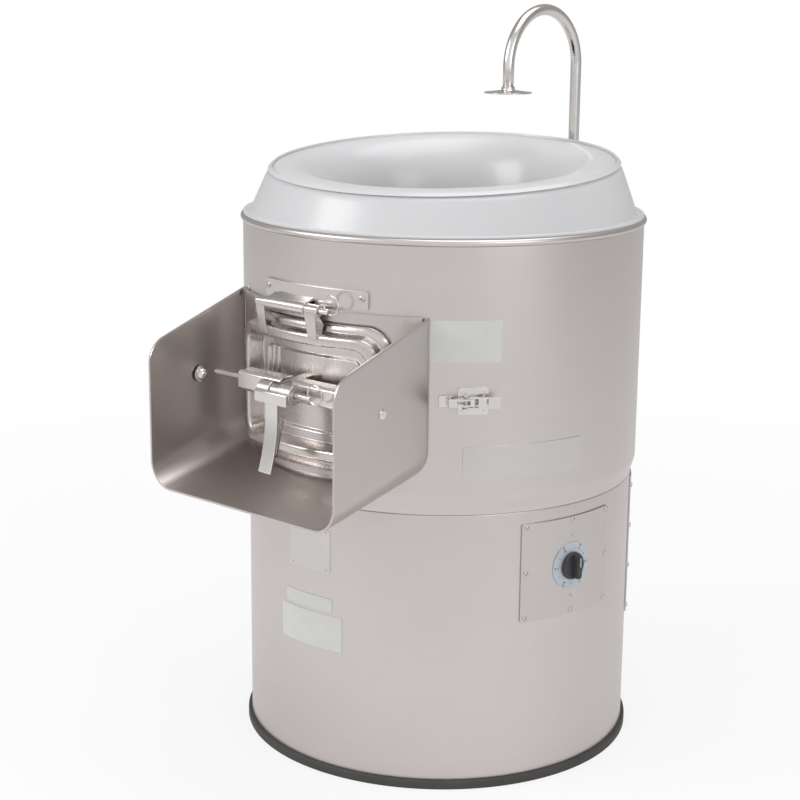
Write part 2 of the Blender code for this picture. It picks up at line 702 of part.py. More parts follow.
def bearings():
    """Housing bolted under the floor, with a bearing at each end and a seal on top."""
    top = FLOOR_UNDER - GAP
    outer = BEARING_RADIUS + BEARING_WALL
    bore = BEARING_RADIUS + GAP
    waist = BEARING_RADIUS - HOUSING_SHOULDER
    flange = top - HOUSING_FLANGE_THICK
    seat = BEARING_HEIGHT + GAP
    profile = [(HOUSING_FLANGE, top), (HOUSING_FLANGE, flange), (outer, flange), (outer, HOUSING_BOTTOM),
               (bore, HOUSING_BOTTOM), (bore, HOUSING_BOTTOM + seat), (waist, HOUSING_BOTTOM + seat),
               (waist, top - seat), (bore, top - seat), (bore, top)]
    turned("bearing_housing", profile, CAST, ring=True)
    race = SHAFT_RADIUS + GAP
    turned("upper_bearing", tube_profile(BEARING_RADIUS, race, top - BEARING_HEIGHT, top), BRIGHT, ring=True)
    turned("lower_bearing", tube_profile(BEARING_RADIUS, race, HOUSING_BOTTOM, HOUSING_BOTTOM + BEARING_HEIGHT),
           BRIGHT, ring=True)
    lip = SHAFT_RADIUS + SHAFT_COLLAR + GAP
    turned("shaft_seal", tube_profile(HUB_BORE + SHAFT_COLLAR, lip, SEAL_BOTTOM, SEAL_BOTTOM + SEAL_HEIGHT),
           RUBBER, ring=True)


def shaft():
    """Drive shaft with a shoulder under the disc, and the domed nut that holds the disc."""
    collar = SHAFT_RADIUS + SHAFT_COLLAR
    hub_top = DISC_SEAT
    shoulder = DISC_BOTTOM - DISC_HUB_DEPTH - GAP
    profile = [(0.0, hub_top + NUT_HEIGHT), (SHAFT_RADIUS, hub_top + NUT_HEIGHT), (SHAFT_RADIUS, shoulder),
               (collar, shoulder), (collar, SEAL_BOTTOM), (SHAFT_RADIUS, SEAL_BOTTOM),
               (SHAFT_RADIUS, PULLEY_BOTTOM - PULLEY_GROOVE), (0.0, PULLEY_BOTTOM - PULLEY_GROOVE)]
    turned("drive_shaft", profile, BRIGHT)
    bottom = hub_top + GAP
    bore = SHAFT_RADIUS + GAP
    roof = hub_top + NUT_HEIGHT + GAP
    dome = [(NUT_RADIUS * math.sin(math.radians(a)), bottom + DOME_HEIGHT + (NUT_HEIGHT - NUT_RADIUS / 3)
             * math.cos(math.radians(a))) for a in (0.0, 30.0, 60.0)]
    turned("disc_nut", dome + [(NUT_RADIUS, bottom + DOME_HEIGHT - NUT_RADIUS / 3), (NUT_RADIUS, bottom),
                               (bore, bottom), (bore, roof), (0.0, roof)], BRIGHT)


def disc():
    """Abrasive disc: its top rises and falls in lobes that throw the potatoes against the wall."""
    around = DRUM_STEPS
    work = bmesh.new()
    rings = []
    for ring in range(DISC_RINGS + 1):
        share = ring / DISC_RINGS
        radius = DISC_SEAT_RADIUS + (DISC_RADIUS - DISC_SEAT_RADIUS) * share
        row = []
        for i in range(around):
            turn = 2 * math.pi * i / around
            wave = DISC_WAVE / 2 * (1 - math.cos(DISC_LOBES * turn)) * math.sin(math.pi * share / 2)
            row.append(work.verts.new((radius * math.cos(turn), radius * math.sin(turn), DISC_SEAT + wave)))
        rings.append(row)
    hub = [work.verts.new((DISC_HUB_RADIUS * v.co.x / DISC_SEAT_RADIUS, DISC_HUB_RADIUS * v.co.y / DISC_SEAT_RADIUS,
                           DISC_SEAT)) for v in rings[0]]
    under = [work.verts.new((v.co.x, v.co.y, DISC_BOTTOM)) for v in rings[-1]]
    rows = [hub] + rings + [under]
    for upper, lower in zip(rows, rows[1:]):
        for i in range(around):
            j = (i + 1) % around
            work.faces.new((upper[i], lower[i], lower[j], upper[j]))
    work.faces.new(hub)
    work.faces.new(list(reversed(under)))
    mesh = bpy.data.meshes.new("abrasive_disc")
    work.to_mesh(mesh)
    work.free()
    mesh.shade_smooth()
    piece = add("abrasive_disc", mesh, STONE)
    low = DISC_BOTTOM - DISC_HUB_DEPTH
    join(piece, turned("disc_hub", solid_profile(DISC_HUB_RADIUS, low, DISC_BOTTOM + DISC_THICK / 2), None))
    cut(piece, rod("disc_bore", SHAFT_RADIUS + GAP, (0.0, 0.0, low - OVERRUN), (0.0, 0.0, DISC_SEAT + OVERRUN),
                   None, steps=TURN_STEPS))


# Motor, pulleys and belt

def pulley(name, radius, bore, place):
    """Grooved pulley with a web; the groove keeps the belt."""
    groove = radius - PULLEY_GROOVE
    side = (PULLEY_HEIGHT - BELT_HEIGHT) / 2 - GAP
    profile = [(radius, PULLEY_TOP), (radius, PULLEY_TOP - side / 2), (groove, PULLEY_TOP - side),
               (groove, PULLEY_BOTTOM + side), (radius, PULLEY_BOTTOM + side / 2), (radius, PULLEY_BOTTOM),
               (bore, PULLEY_BOTTOM), (bore, PULLEY_TOP)]
    return turned(name, profile, CAST, ring=True, place=place)


def belt_outline(large, small):
    """Outline of a belt round two pulleys, the large one at the origin and the small one at the motor."""
    distance = Vector((MOTOR_X, MOTOR_Y)).length
    heading = math.degrees(math.atan2(MOTOR_Y, MOTOR_X))
    lean = math.degrees(math.acos((large - small) / distance))
    out = arc(0.0, 0.0, large, heading + lean, heading + 360.0 - lean, DRUM_STEPS)
    out += arc(MOTOR_X, MOTOR_Y, small, heading - lean, heading + lean, TURN_STEPS)
    return out


def drive():
    """Motor standing on a plate in the cabinet, its belt drive under the plate."""
    motor_place = Matrix.Translation((MOTOR_X, MOTOR_Y, 0.0))
    plate = turned("drive_plate", solid_profile(CABINET_INNER - GAP, DRIVE_PLATE_HEIGHT,
                                                DRIVE_PLATE_HEIGHT + DRIVE_PLATE), DULL, steps=DRUM_STEPS)
    for name, radius, x, y in (("shaft_hole", DRIVE_PLATE_HOLE, 0.0, 0.0),
                               ("motor_hole", MOTOR_SHAFT_RADIUS * 2, MOTOR_X, MOTOR_Y)):
        cut(plate, rod(name, radius, (x, y, DRIVE_PLATE_HEIGHT - OVERRUN), (x, y, DRIVE_PLATE_HEIGHT + OVERRUN),
                       None, steps=TURN_STEPS))
    motor_top = MOTOR_BOTTOM + MOTOR_HEIGHT
    motor = turned("motor", solid_profile(MOTOR_RADIUS, MOTOR_BOTTOM, motor_top, MOTOR_BEVEL), GREY,
                   steps=MOTOR_FINS * 2, place=motor_place)
    cut(motor, rod("motor_bore", MOTOR_SHAFT_RADIUS + GAP, (MOTOR_X, MOTOR_Y, MOTOR_BOTTOM - OVERRUN),
                   (MOTOR_X, MOTOR_Y, MOTOR_BOTTOM + OVERRUN), None, steps=TURN_STEPS))
    turned("motor_shaft", solid_profile(MOTOR_SHAFT_RADIUS, PULLEY_BOTTOM - PULLEY_GROOVE,
                                        MOTOR_BOTTOM + OVERRUN - GAP), BRIGHT, steps=SMALL_STEPS, place=motor_place)
    large = pulley("large_pulley", LARGE_PULLEY, SHAFT_RADIUS + GAP, Matrix())
    web = (PULLEY_HEIGHT - PULLEY_WEB) / 2
    inner = DISC_HUB_RADIUS
    outer = LARGE_PULLEY - PULLEY_RIM
    for name, bottom in (("web_under", PULLEY_BOTTOM - OVERRUN), ("web_over", PULLEY_TOP - web)):
        cut(large, turned(name, tube_profile(outer, inner, bottom, bottom + web + OVERRUN), None, ring=True))
    middle = (inner + outer) / 2
    for i in range(PULLEY_HOLES):
        turn = 2 * math.pi * i / PULLEY_HOLES
        x = middle * math.cos(turn)
        y = middle * math.sin(turn)
        cut(large, rod(f"pulley_hole_{i + 1}", PULLEY_HOLE, (x, y, PULLEY_BOTTOM), (x, y, PULLEY_TOP), None))
    pulley("motor_pulley", SMALL_PULLEY, MOTOR_SHAFT_RADIUS + GAP, motor_place)
    inside = (LARGE_PULLEY - PULLEY_GROOVE + GAP, SMALL_PULLEY - PULLEY_GROOVE + GAP)
    outside = [radius + BELT_THICK for radius in inside]
    middle = (PULLEY_BOTTOM + PULLEY_TOP) / 2
    flat("drive_belt", [belt_outline(*outside), list(reversed(belt_outline(*inside)))], BELT_HEIGHT, RUBBER,
         Matrix.Translation((0.0, 0.0, middle)))


# Feed collar

def baked(piece):
    """Replace a piece's modifiers by the mesh that they make."""
    bpy.context.view_layer.update()
    depsgraph = bpy.context.evaluated_depsgraph_get()
    mesh = bpy.data.meshes.new_from_object(piece.evaluated_get(depsgraph))
    piece.modifiers.clear()
    piece.data = mesh
    return piece


def offset_path(path, thick):
    """The same path moved sideways by a wall's thickness, to the right of its direction."""
    out = []
    for i, here in enumerate(path):
        before = Vector(path[max(i - 1, 0)])
        after = Vector(path[min(i + 1, len(path) - 1)])
        heading = (after - before).normalized()
        out.append((here[0] + heading.y * thick, here[1] - heading.x * thick))
    return out


def collar():
    """Feed collar: a moulded ring, higher at the rear, with a funnel down to its throat."""
    foot = RIM_HEIGHT + RIM_BEAD + GAP
    low = COLLAR_CREST - COLLAR_THROAT_DEPTH
    drop = COLLAR_SHOULDER_DROP
    path = [(COLLAR_THROAT, low)]
    for i in range(1, COLLAR_POINTS + 1):
        turn = math.radians(90.0 * i / COLLAR_POINTS)
        path.append((COLLAR_CREST_RADIUS - (COLLAR_CREST_RADIUS - COLLAR_THROAT) * math.cos(turn),
                     low + COLLAR_THROAT_DEPTH * math.sin(turn)))
    for i in range(1, COLLAR_POINTS + 1):
        turn = math.radians(COLLAR_BROW_TURN * i / COLLAR_POINTS)
        path.append((COLLAR_CREST_RADIUS + COLLAR_BROW * math.sin(turn) / math.sin(math.radians(COLLAR_BROW_TURN)),
                     COLLAR_CREST - drop * (1 - math.cos(turn))))
    path += [(COLLAR_RADIUS, foot + COLLAR_WALL)]
    under = offset_path(path, COLLAR_WALL)
    wall = COLLAR_RADIUS - COLLAR_WALL
    ledge = COLLAR_RADIUS + COLLAR_LEDGE
    skirt = [(ledge, foot + COLLAR_WALL), (ledge, foot), (COLLAR_RADIUS, foot), (COLLAR_RADIUS, foot - COLLAR_SPIGOT),
             (wall, foot - COLLAR_SPIGOT)]
    piece = turned("feed_collar", path + skirt + list(reversed(under)), COLLAR_FINISH, steps=DRUM_STEPS, ring=True)
    baked(piece)
    lean = math.radians(COLLAR_TILT_ANGLE)
    for vertex in piece.data.vertices:
        share = (vertex.co.z - foot - COLLAR_WALL) / (COLLAR_CREST - foot)
        reach = vertex.co.x * math.sin(lean) - vertex.co.y * math.cos(lean)
        vertex.co.z += COLLAR_TILT * reach * min(max(share, 0.0), 1.0)
    piece.data.shade_smooth()


# Chute and the strip over the door

def drum_core(name, radius, bottom, top):
    """A solid drum, as a cutter for what lies against the shell."""
    return turned(name, solid_profile(radius, bottom, top), None, steps=DRUM_STEPS)


def across(name, outline, half, finish, centre=0.0):
    """A prism along X over a (y, z) outline."""
    place = Matrix(((0.0, 0.0, 1.0, centre), (1.0, 0.0, 0.0, 0.0), (0.0, 1.0, 0.0, 0.0), (0.0, 0.0, 0.0, 1.0)))
    return flat(name, [outline], half * 2, finish, place)


def trough(name, half, floor, bend, past, finish):
    """A round-cornered block whose floor rises towards the drum; it runs past both ends of the chute."""
    top = CHUTE_TOP + OVERRUN
    outline = arc(half - bend, floor + bend, bend, -90.0, 0.0) + [(half, top), (-half, top)]
    outline += arc(bend - half, floor + bend, bend, 180.0, 270.0)
    length = CHUTE_FRONT - CHUTE_BACK + OVERRUN + past * 2
    piece = flat(name, [outline], length, finish)
    middle = length / 2 - CHUTE_FRONT - past
    rise = CHUTE_FLOOR_RISE
    piece.data.transform(Matrix(((1.0, 0.0, 0.0, 0.0), (0.0, 0.0, -1.0, middle),
                                 (0.0, 1.0, -rise, rise * (length / 2 - past)), (0.0, 0.0, 0.0, 1.0))))
    return piece


def chute():
    """Discharge chute: one bent sheet, a floor and two side walls with a round front corner."""
    half = CHUTE_WIDTH / 2
    piece = trough("chute", half, CHUTE_FLOOR, CHUTE_BEND, 0.0, STEEL)
    inner = trough("chute_inside", half - CHUTE_SHEET, CHUTE_FLOOR + CHUTE_SHEET, CHUTE_BEND - CHUTE_SHEET, OVERRUN, None)
    cut(piece, inner)
    root_y = -math.sqrt(DRUM_RADIUS ** 2 - half ** 2)
    front = -CHUTE_FRONT
    back = -CHUTE_BACK + OVERRUN
    fall = CHUTE_TOP_FALL
    lean = math.degrees(math.atan(fall))
    nose = CHUTE_NOSE
    edge = CHUTE_TOP + fall * (front - root_y)
    centre_y = front + nose
    centre_z = edge + fall * nose - nose * math.sqrt(1 + fall ** 2)
    outline = [(front, CHUTE_FLOOR - OVERRUN * 2), (back, CHUTE_FLOOR - OVERRUN * 2),
               (back, CHUTE_TOP + fall * (back - root_y))]
    outline += arc(centre_y, centre_z, nose, 90.0 + lean, 180.0)
    trim(piece, across("chute_side", outline, half + OVERRUN, None))
    cut(piece, drum_core("chute_root", DRUM_RADIUS + GAP, CHUTE_FLOOR - OVERRUN, CHUTE_TOP + OVERRUN * 4))
    for name, side in (("left", -1), ("right", 1)):
        cut(piece, rod("strike_hole_" + name, STRIKE_RADIUS + GAP, (side * (half - OVERRUN), STRIKE_Y, STRIKE_Z),
                       (side * (half + OVERRUN), STRIKE_Y, STRIKE_Z), None))
    patch("door_header", 0.0, half - CHUTE_SHEET - GAP, HEADER_BOTTOM, HEADER_BOTTOM + HEADER_HEIGHT, OVERRUN / 8,
          DRUM_RADIUS + GAP, DRUM_RADIUS + GAP + HEADER_THICK, STEEL)


# Door

FLANGE_INNER = DRUM_RADIUS + GAP * 3 + GASKET_THICK
FLANGE_MIDDLE = FLANGE_INNER + DOOR_SHEET / 2
PANEL_MIDDLE = DRUM_RADIUS - DOOR_RECESS - DOOR_STEP + DOOR_SHEET


def door_loop(inset, share, radius):
    """Points of one round-cornered loop of the pressing, wrapped round the drum."""
    half = (DOOR_HALF - inset) * share
    rise = ((DOOR_TOP - DOOR_BOTTOM) / 2 - inset) * share
    corner = max(DOOR_CORNER - inset * DOOR_CORNER / (DOOR_HALF / 2), DOOR_CORNER / 4) * share
    middle = (DOOR_TOP + DOOR_BOTTOM) / 2
    corners = ((1, -1, -90.0), (1, 1, 0.0), (-1, 1, 90.0), (-1, -1, 180.0))
    flat_points = []
    for i, (side, end, start) in enumerate(corners):
        turn = arc(side * (half - corner), end * (rise - corner), corner, start, start + 90.0)
        next_side, next_end, next_start = corners[(i + 1) % 4]
        next_point = arc(next_side * (half - corner), next_end * (rise - corner), corner,
                         next_start, next_start + 90.0)[0]
        flat_points += turn
        last = Vector(turn[-1])
        step = (Vector(next_point) - last) / DOOR_SIDE_POINTS
        flat_points += [tuple(last + step * k) for k in range(1, DOOR_SIDE_POINTS)]
    return [wrapped(x, middle + z, radius) for x, z in flat_points]


def door_pressing():
    """Pressed sheet: a flat flange, a high bead all round and a recess in two steps."""
    bead = FLANGE_MIDDLE + DOOR_BEAD_HEIGHT
    ledge = PANEL_MIDDLE + DOOR_STEP
    slope = DOOR_BEAD_SLOPE
    first = DOOR_FLANGE_WIDTH
    last = DOOR_FLANGE_WIDTH + DOOR_BEAD_WIDTH
    rows = [(0.0, FLANGE_MIDDLE), (first, FLANGE_MIDDLE), (first + slope, bead), (last - slope, bead), (last, ledge),
            (last + DOOR_LEDGE, ledge), (last + DOOR_LEDGE + DOOR_STEP, PANEL_MIDDLE)]
    work = bmesh.new()
    loops = [[work.verts.new(p) for p in door_loop(inset, 1.0, radius)] for inset, radius in rows]
    for share in DOOR_SHRINK_SHARES:
        loops.append([work.verts.new(p) for p in door_loop(rows[-1][0], share, PANEL_MIDDLE)])
    count = len(loops[0])
    for outer, inner in zip(loops, loops[1:]):
        for i in range(count):
            j = (i + 1) % count
            work.faces.new((outer[i], outer[j], inner[j], inner[i]))
    centre = work.verts.new(wrapped(0.0, (DOOR_TOP + DOOR_BOTTOM) / 2, PANEL_MIDDLE))
    for i in range(count):
        work.faces.new((loops[-1][i], loops[-1][(i + 1) % count], centre))
    bmesh.ops.recalc_face_normals(work, faces=work.faces)
    mesh = bpy.data.meshes.new("door")
    work.to_mesh(mesh)
    work.free()
    mesh.shade_smooth()
    piece = add("door", mesh, STEEL)
    shell = piece.modifiers.new("sheet", "SOLIDIFY")
    shell.thickness = DOOR_SHEET
    shell.offset = 0.0
    shell.use_even_offset = True
    return piece


def door():
    """Door with its gasket, two knuckles on straps and the lug that carries the latch."""
    piece = door_pressing()
    for name, left, right in (("left", KNUCKLE_LEFT, BARREL_LEFT - GAP), ("right", BARREL_RIGHT + GAP, KNUCKLE_RIGHT)):
        middle = (left + right) / 2
        half = (right - left) / 2
        strap = [(HINGE_Y - KNUCKLE_RADIUS + GAP * 2, HINGE_Z), (-FLANGE_MIDDLE - KNUCKLE_RADIUS, DOOR_TOP - DOOR_FLANGE_WIDTH),
                 (-FLANGE_MIDDLE + OVERRUN, DOOR_TOP - DOOR_FLANGE_WIDTH), (-FLANGE_MIDDLE + OVERRUN, DOOR_TOP),
                 (HINGE_Y + KNUCKLE_RADIUS / 2, HINGE_Z)]
        arm = across("strap_" + name, strap, half, None, middle)
        cut(arm, turned("strap_back_" + name, [(0.0, HINGE_Z), (DRUM_RADIUS + GAP + HEADER_THICK + GAP * 5, HINGE_Z),
                                               (DRUM_RADIUS + GAP + HEADER_THICK + GAP * 5, DOOR_TOP),
                                               (FLANGE_MIDDLE, DOOR_TOP), (FLANGE_MIDDLE, OPENING_BOTTOM),
                                               (0.0, OPENING_BOTTOM)], None, steps=DRUM_STEPS))
        join(piece, arm)
        join(piece, rod("knuckle_" + name, KNUCKLE_RADIUS, (left, HINGE_Y, HINGE_Z), (right, HINGE_Y, HINGE_Z), None,
                        steps=TURN_STEPS))
    root = -PANEL_MIDDLE + OVERRUN
    nose = arc(LATCH_Y, LATCH_Z, LUG_RADIUS, 105.0, 255.0)
    spread = LUG_RADIUS + BAR_CHAMFER
    lug = across("latch_lug", nose + [(root, LATCH_Z - spread), (root, LATCH_Z + spread)], LUG_HALF, None)
    cut(lug, drum_core("lug_back", PANEL_MIDDLE, LATCH_Z - spread * 2, LATCH_Z + spread * 2))
    join(piece, lug)
    cut(piece, rod("hinge_bore", PIN_RADIUS + GAP, (KNUCKLE_LEFT - OVERRUN, HINGE_Y, HINGE_Z),
                   (KNUCKLE_RIGHT + OVERRUN, HINGE_Y, HINGE_Z), None, steps=TURN_STEPS))
    cut(piece, rod("lug_bore", LATCH_PIN_RADIUS + GAP, (-LUG_HALF - OVERRUN, LATCH_Y, LATCH_Z),
                   (LUG_HALF + OVERRUN, LATCH_Y, LATCH_Z), None, steps=TURN_STEPS))
    inset = GASKET_INSET
    half = DRUM_RADIUS * math.sin((DOOR_HALF - inset) / DRUM_RADIUS)
    seal = patch("door_gasket", 0.0, half, DOOR_BOTTOM + inset, DOOR_TOP - inset, DOOR_CORNER - inset,
                 DRUM_RADIUS + GAP, DRUM_RADIUS + GAP + GASKET_THICK, RUBBER)
    wide = GASKET_WIDTH
    window(seal, "gasket_inside", 0.0, half - wide, DOOR_BOTTOM + inset + wide, DOOR_TOP - inset - wide,
           DOOR_CORNER - inset - wide, DRUM_RADIUS, OVERRUN * 8)


# Hinge bracket and pull pins

def pull_pin(name, left, right, radius, y, z, lean):
    """A pin along X with a ring through its outer end; lean turns the ring up from +X."""
    hole = Vector((right - radius, y, z))
    turn = math.radians(lean)
    reach = Vector((math.cos(turn), 0.0, math.sin(turn)))
    across_pin = Vector((-math.sin(turn), 0.0, math.cos(turn)))
    pin = rod(name, radius, (left, y, z), (right, y, z), BRIGHT)
    cut(pin, rod(name + "_hole", radius * RING_HOLE_SHARE, hole - across_pin * OVERRUN, hole + across_pin * OVERRUN, None))
    centre = hole + reach * PULL_RING_RADIUS
    path = []
    for i in range(SMALL_STEPS * 2):
        angle = 2 * math.pi * i / (SMALL_STEPS * 2)
        path.append(centre + (reach * math.cos(angle) + across_pin * math.sin(angle)) * PULL_RING_RADIUS)
    wire(name + "_ring", path, PULL_RING_WIRE, BRIGHT, sides=1, loop=True)


def hinge():
    """Bracket on the shell: a curved plate with a rolled barrel, and the pull pin through it."""
    middle = (BRACKET_LEFT + BRACKET_RIGHT) / 2
    half = (BRACKET_RIGHT - BRACKET_LEFT) / 2
    angle = math.degrees(math.asin(middle / DRUM_RADIUS))
    inner = DRUM_RADIUS + GAP
    outer = inner + BRACKET_THICK
    plate = patch("hinge_bracket", angle, half, BRACKET_BOTTOM, BRACKET_TOP, BRACKET_THICK, inner, outer, STEEL)
    barrel_middle = (BARREL_LEFT + BARREL_RIGHT) / 2
    barrel_half = (BARREL_RIGHT - BARREL_LEFT) / 2
    web = [(HINGE_Y, HINGE_Z + BARREL_RADIUS), (HINGE_Y, HINGE_Z + BARREL_RADIUS / 2),
           (-inner + OVERRUN, BRACKET_BOTTOM), (-inner + OVERRUN, BRACKET_BOTTOM + BARREL_RADIUS)]
    arm = across("bracket_web", web, barrel_half, None, barrel_middle)
    cut(arm, drum_core("web_back", inner + BRACKET_THICK / 2, BRACKET_BOTTOM - OVERRUN, BRACKET_TOP))
    join(plate, arm)
    join(plate, rod("barrel", BARREL_RADIUS, (BARREL_LEFT, HINGE_Y, HINGE_Z), (BARREL_RIGHT, HINGE_Y, HINGE_Z), None,
                    steps=TURN_STEPS))
    cut(plate, rod("barrel_bore", PIN_RADIUS + GAP, (BARREL_LEFT - OVERRUN, HINGE_Y, HINGE_Z),
                   (BARREL_RIGHT + OVERRUN, HINGE_Y, HINGE_Z), None, steps=TURN_STEPS))
    pull_pin("hinge_pin", PIN_LEFT, PIN_RIGHT + PIN_RADIUS, PIN_RADIUS, HINGE_Y, HINGE_Z, RING_LEAN)


# Latch on the door

def latch():
    """Latch handle: two ears round the pin, each with a square block, and a hanging grip.

    The ears meet only in front of the pin, so the door's lug passes between them as the handle lifts.
    """
    front = LATCH_Y - EAR_RADIUS
    bridge = [(front + HANDLE_THICK / 4, LATCH_Z - EAR_RADIUS), (front + HANDLE_THICK / 4, LATCH_Z + EAR_RADIUS / 4),
              (front - HANDLE_THICK, LATCH_Z + EAR_RADIUS / 4), (front - HANDLE_THICK, LATCH_Z - EAR_RADIUS)]
    piece = across("latch_handle", bridge, EAR_OUTER, BRIGHT)
    ear_half = (EAR_OUTER - LUG_HALF - GAP * 2) / 2
    ear_middle = EAR_OUTER - ear_half
    block_half = (BAR_OUTER - BAR_INNER) / 2
    for name, side in (("left", -1), ("right", 1)):
        ear = circle(LATCH_Y, LATCH_Z, EAR_RADIUS, SMALL_STEPS)
        join(piece, across("ear_" + name, ear, ear_half, None, side * ear_middle))
        bar = block("bar_" + name, (block_half * 2, BAR_SIZE, BAR_SIZE),
                    (side * (BAR_INNER + block_half), BAR_Y, STRIKE_Z + BAR_RISE), None, BAR_CHAMFER)
        join(piece, bar)
        cut(piece, rod("rod_socket_" + name, ROD_RADIUS + GAP,
                       (side * (BAR_OUTER - ROD_DEPTH), ROD_Y, LATCH_Z), (side * (BAR_OUTER + OVERRUN), ROD_Y, LATCH_Z), None))
        rod("latch_rod_" + name, ROD_RADIUS, (side * (BAR_OUTER - ROD_DEPTH + GAP), ROD_Y, LATCH_Z),
            (side * ROD_END, ROD_Y, LATCH_Z), BRIGHT)
    drop = LATCH_Z - HANDLE_BOTTOM
    face = [(front - HANDLE_THICK * out, LATCH_Z - drop * down) for down, out in GRIP_SHARES]
    back = offset_path(face, HANDLE_THICK)
    grip = across("grip", face + list(reversed(back)), HANDLE_WIDTH / 2, None)
    join(piece, grip)
    rib_half = (HANDLE_WIDTH / 2 - LUG_HALF - GAP * 2) / 2
    rib = [(front, LATCH_Z), (front - HANDLE_THICK, LATCH_Z - drop * 3 / 4), (front, LATCH_Z - drop * GRIP_RIB_SHARE),
           (front + EAR_RADIUS, LATCH_Z - drop / 3), (front + EAR_RADIUS, LATCH_Z - EAR_RADIUS / 2)]
    for name, side in (("left", -1), ("right", 1)):
        join(piece, across("grip_rib_" + name, rib, rib_half, None, side * (HANDLE_WIDTH / 2 - rib_half)))
    cut(piece, rod("latch_bore", LATCH_PIN_RADIUS + GAP, (-EAR_OUTER - OVERRUN, LATCH_Y, LATCH_Z),
                   (EAR_OUTER + OVERRUN, LATCH_Y, LATCH_Z), None, steps=TURN_STEPS))
    pull_pin("latch_pin", LATCH_PIN_LEFT, LATCH_PIN_RIGHT, LATCH_PIN_RADIUS, LATCH_Y, LATCH_Z, LATCH_RING_LEAN)


# Strike bolts in the chute walls

def strikes():
    """A bolt through each wall, its domed nut inside, where the latch rods catch."""
    wall = CHUTE_WIDTH / 2
    inner = wall - CHUTE_SHEET
    for name, side in (("left", -1), ("right", 1)):
        turn = Matrix.Rotation(side * math.pi / 2, 4, "Y")
        place = Matrix.Translation((0.0, STRIKE_Y, STRIKE_Z)) @ turn
        head = wall + GAP
        head_radius = HEX_RADIUS
        tip = inner - DOME_LENGTH + STRIKE_RADIUS
        turned("strike_bolt_" + name, [(0.0, head + HEX_HEIGHT), (head_radius - HEX_HEIGHT / 5, head + HEX_HEIGHT),
                                       (head_radius, head + HEX_HEIGHT / 2), (head_radius, head),
                                       (STRIKE_RADIUS, head), (STRIKE_RADIUS, tip), (0.0, tip)],
               BRIGHT, steps=SMALL_STEPS, place=place)
        seat = inner - GAP
        rim = seat - WASHER_THICK
        end = inner - GAP - DOME_LENGTH
        dome = arc(0.0, 0.0, 1.0, 0.0, 90.0, 3)
        outside = [(WASHER_RADIUS, seat), (WASHER_RADIUS, rim)]
        outside += [(DOME_RADIUS * x, rim - (rim - end) * y) for x, y in dome]
        bore = STRIKE_RADIUS + GAP
        floor = tip - GAP
        turned("strike_nut_" + name, [(bore, seat)] + outside[:-1] + [(0.0, end), (0.0, floor), (bore, floor)],
               BRIGHT, steps=SMALL_STEPS, ring=True, place=place)


# Timer panel, timer and side panel

def timer():
    """Curved panel with the timer behind it, its dial, its shaft and the pointer knob."""
    inner = CABINET_RADIUS + GAP
    outer = inner + PANEL_THICK
    half = CABINET_RADIUS * math.sin(math.radians(PANEL_TO - PANEL_FROM) / 2)
    panel = patch("timer_panel", TIMER_PANEL_ANGLE, half, PANEL_BOTTOM, PANEL_TOP, PANEL_CORNER, inner, outer, STEEL)
    place = facing(TIMER_ANGLE, 0.0, TIMER_Z)
    centre = Vector((math.sin(math.radians(TIMER_ANGLE)), -math.cos(math.radians(TIMER_ANGLE)), 0.0))
    up = Vector((0.0, 0.0, TIMER_Z))
    cut(panel, rod("boss_hole", TIMER_BOSS + GAP, centre * (inner - OVERRUN) + up, centre * (outer + OVERRUN) + up,
                   None))
    dial = patch("timer_dial", TIMER_ANGLE, DIAL_RADIUS, TIMER_Z - DIAL_RADIUS, TIMER_Z + DIAL_RADIUS,
                 DIAL_RADIUS - GAP, outer + GAP, outer + GAP + DIAL_THICK, GREY)
    cut(dial, rod("dial_hole", TIMER_SHAFT + GAP * 2, centre * inner + up, centre * (outer + OVERRUN) + up, None))
    front = inner * math.cos(math.asin(TIMER_BOX / 2 / inner)) - GAP * 4
    face = outer + GAP
    boss_end = outer * math.cos(math.pi / DRUM_STEPS) - GAP
    box = block("timer_unit", (TIMER_BOX, TIMER_BOX, TIMER_BOX_DEPTH), (0.0, 0.0, front - TIMER_BOX_DEPTH / 2), BLACK)
    box.matrix_world = place
    join(box, rod("timer_boss", TIMER_BOSS, centre * (front - OVERRUN) + up, centre * boss_end + up, None))
    socket = front - TIMER_BOX_DEPTH / 2
    cut(box, rod("timer_bore", TIMER_SHAFT + GAP, centre * socket + up, centre * (boss_end + OVERRUN) + up, None))
    seat = face + DIAL_THICK + GAP * 2
    skirt = KNOB_HEIGHT / 4
    knob = turned("timer_knob", solid_profile(KNOB_RADIUS, seat, seat + skirt, skirt / 3), BLACK, place=place)
    grip = block("knob_grip", (KNOB_GRIP, KNOB_RADIUS * 2 - skirt, KNOB_HEIGHT - skirt / 2),
                 (0.0, 0.0, seat + (KNOB_HEIGHT + skirt / 2) / 2), None, skirt / 4)
    grip.matrix_world = place
    join(knob, grip)
    deep = seat + KNOB_HEIGHT / 2
    cut(knob, rod("knob_bore", TIMER_SHAFT + GAP, centre * (seat - OVERRUN) + up, centre * deep + up, None))
    rod("timer_shaft", TIMER_SHAFT, centre * (socket + GAP) + up, centre * (deep - GAP) + up, DULL)


def side_panel():
    """Curved access panel over the drive."""
    inner = CABINET_RADIUS + GAP
    half = CABINET_RADIUS * math.sin(math.radians(SIDE_TO - SIDE_FROM) / 2)
    patch("side_panel", SIDE_PANEL_ANGLE, half, SIDE_BOTTOM, SIDE_TOP, PANEL_CORNER, inner, inner + PANEL_THICK, STEEL)


# Toggle latch

def toggle_place():
    """The latch's own frame: X along the latch, Z out of the drum."""
    return facing(TOGGLE_ANGLE, DRUM_RADIUS, TOGGLE_Z)


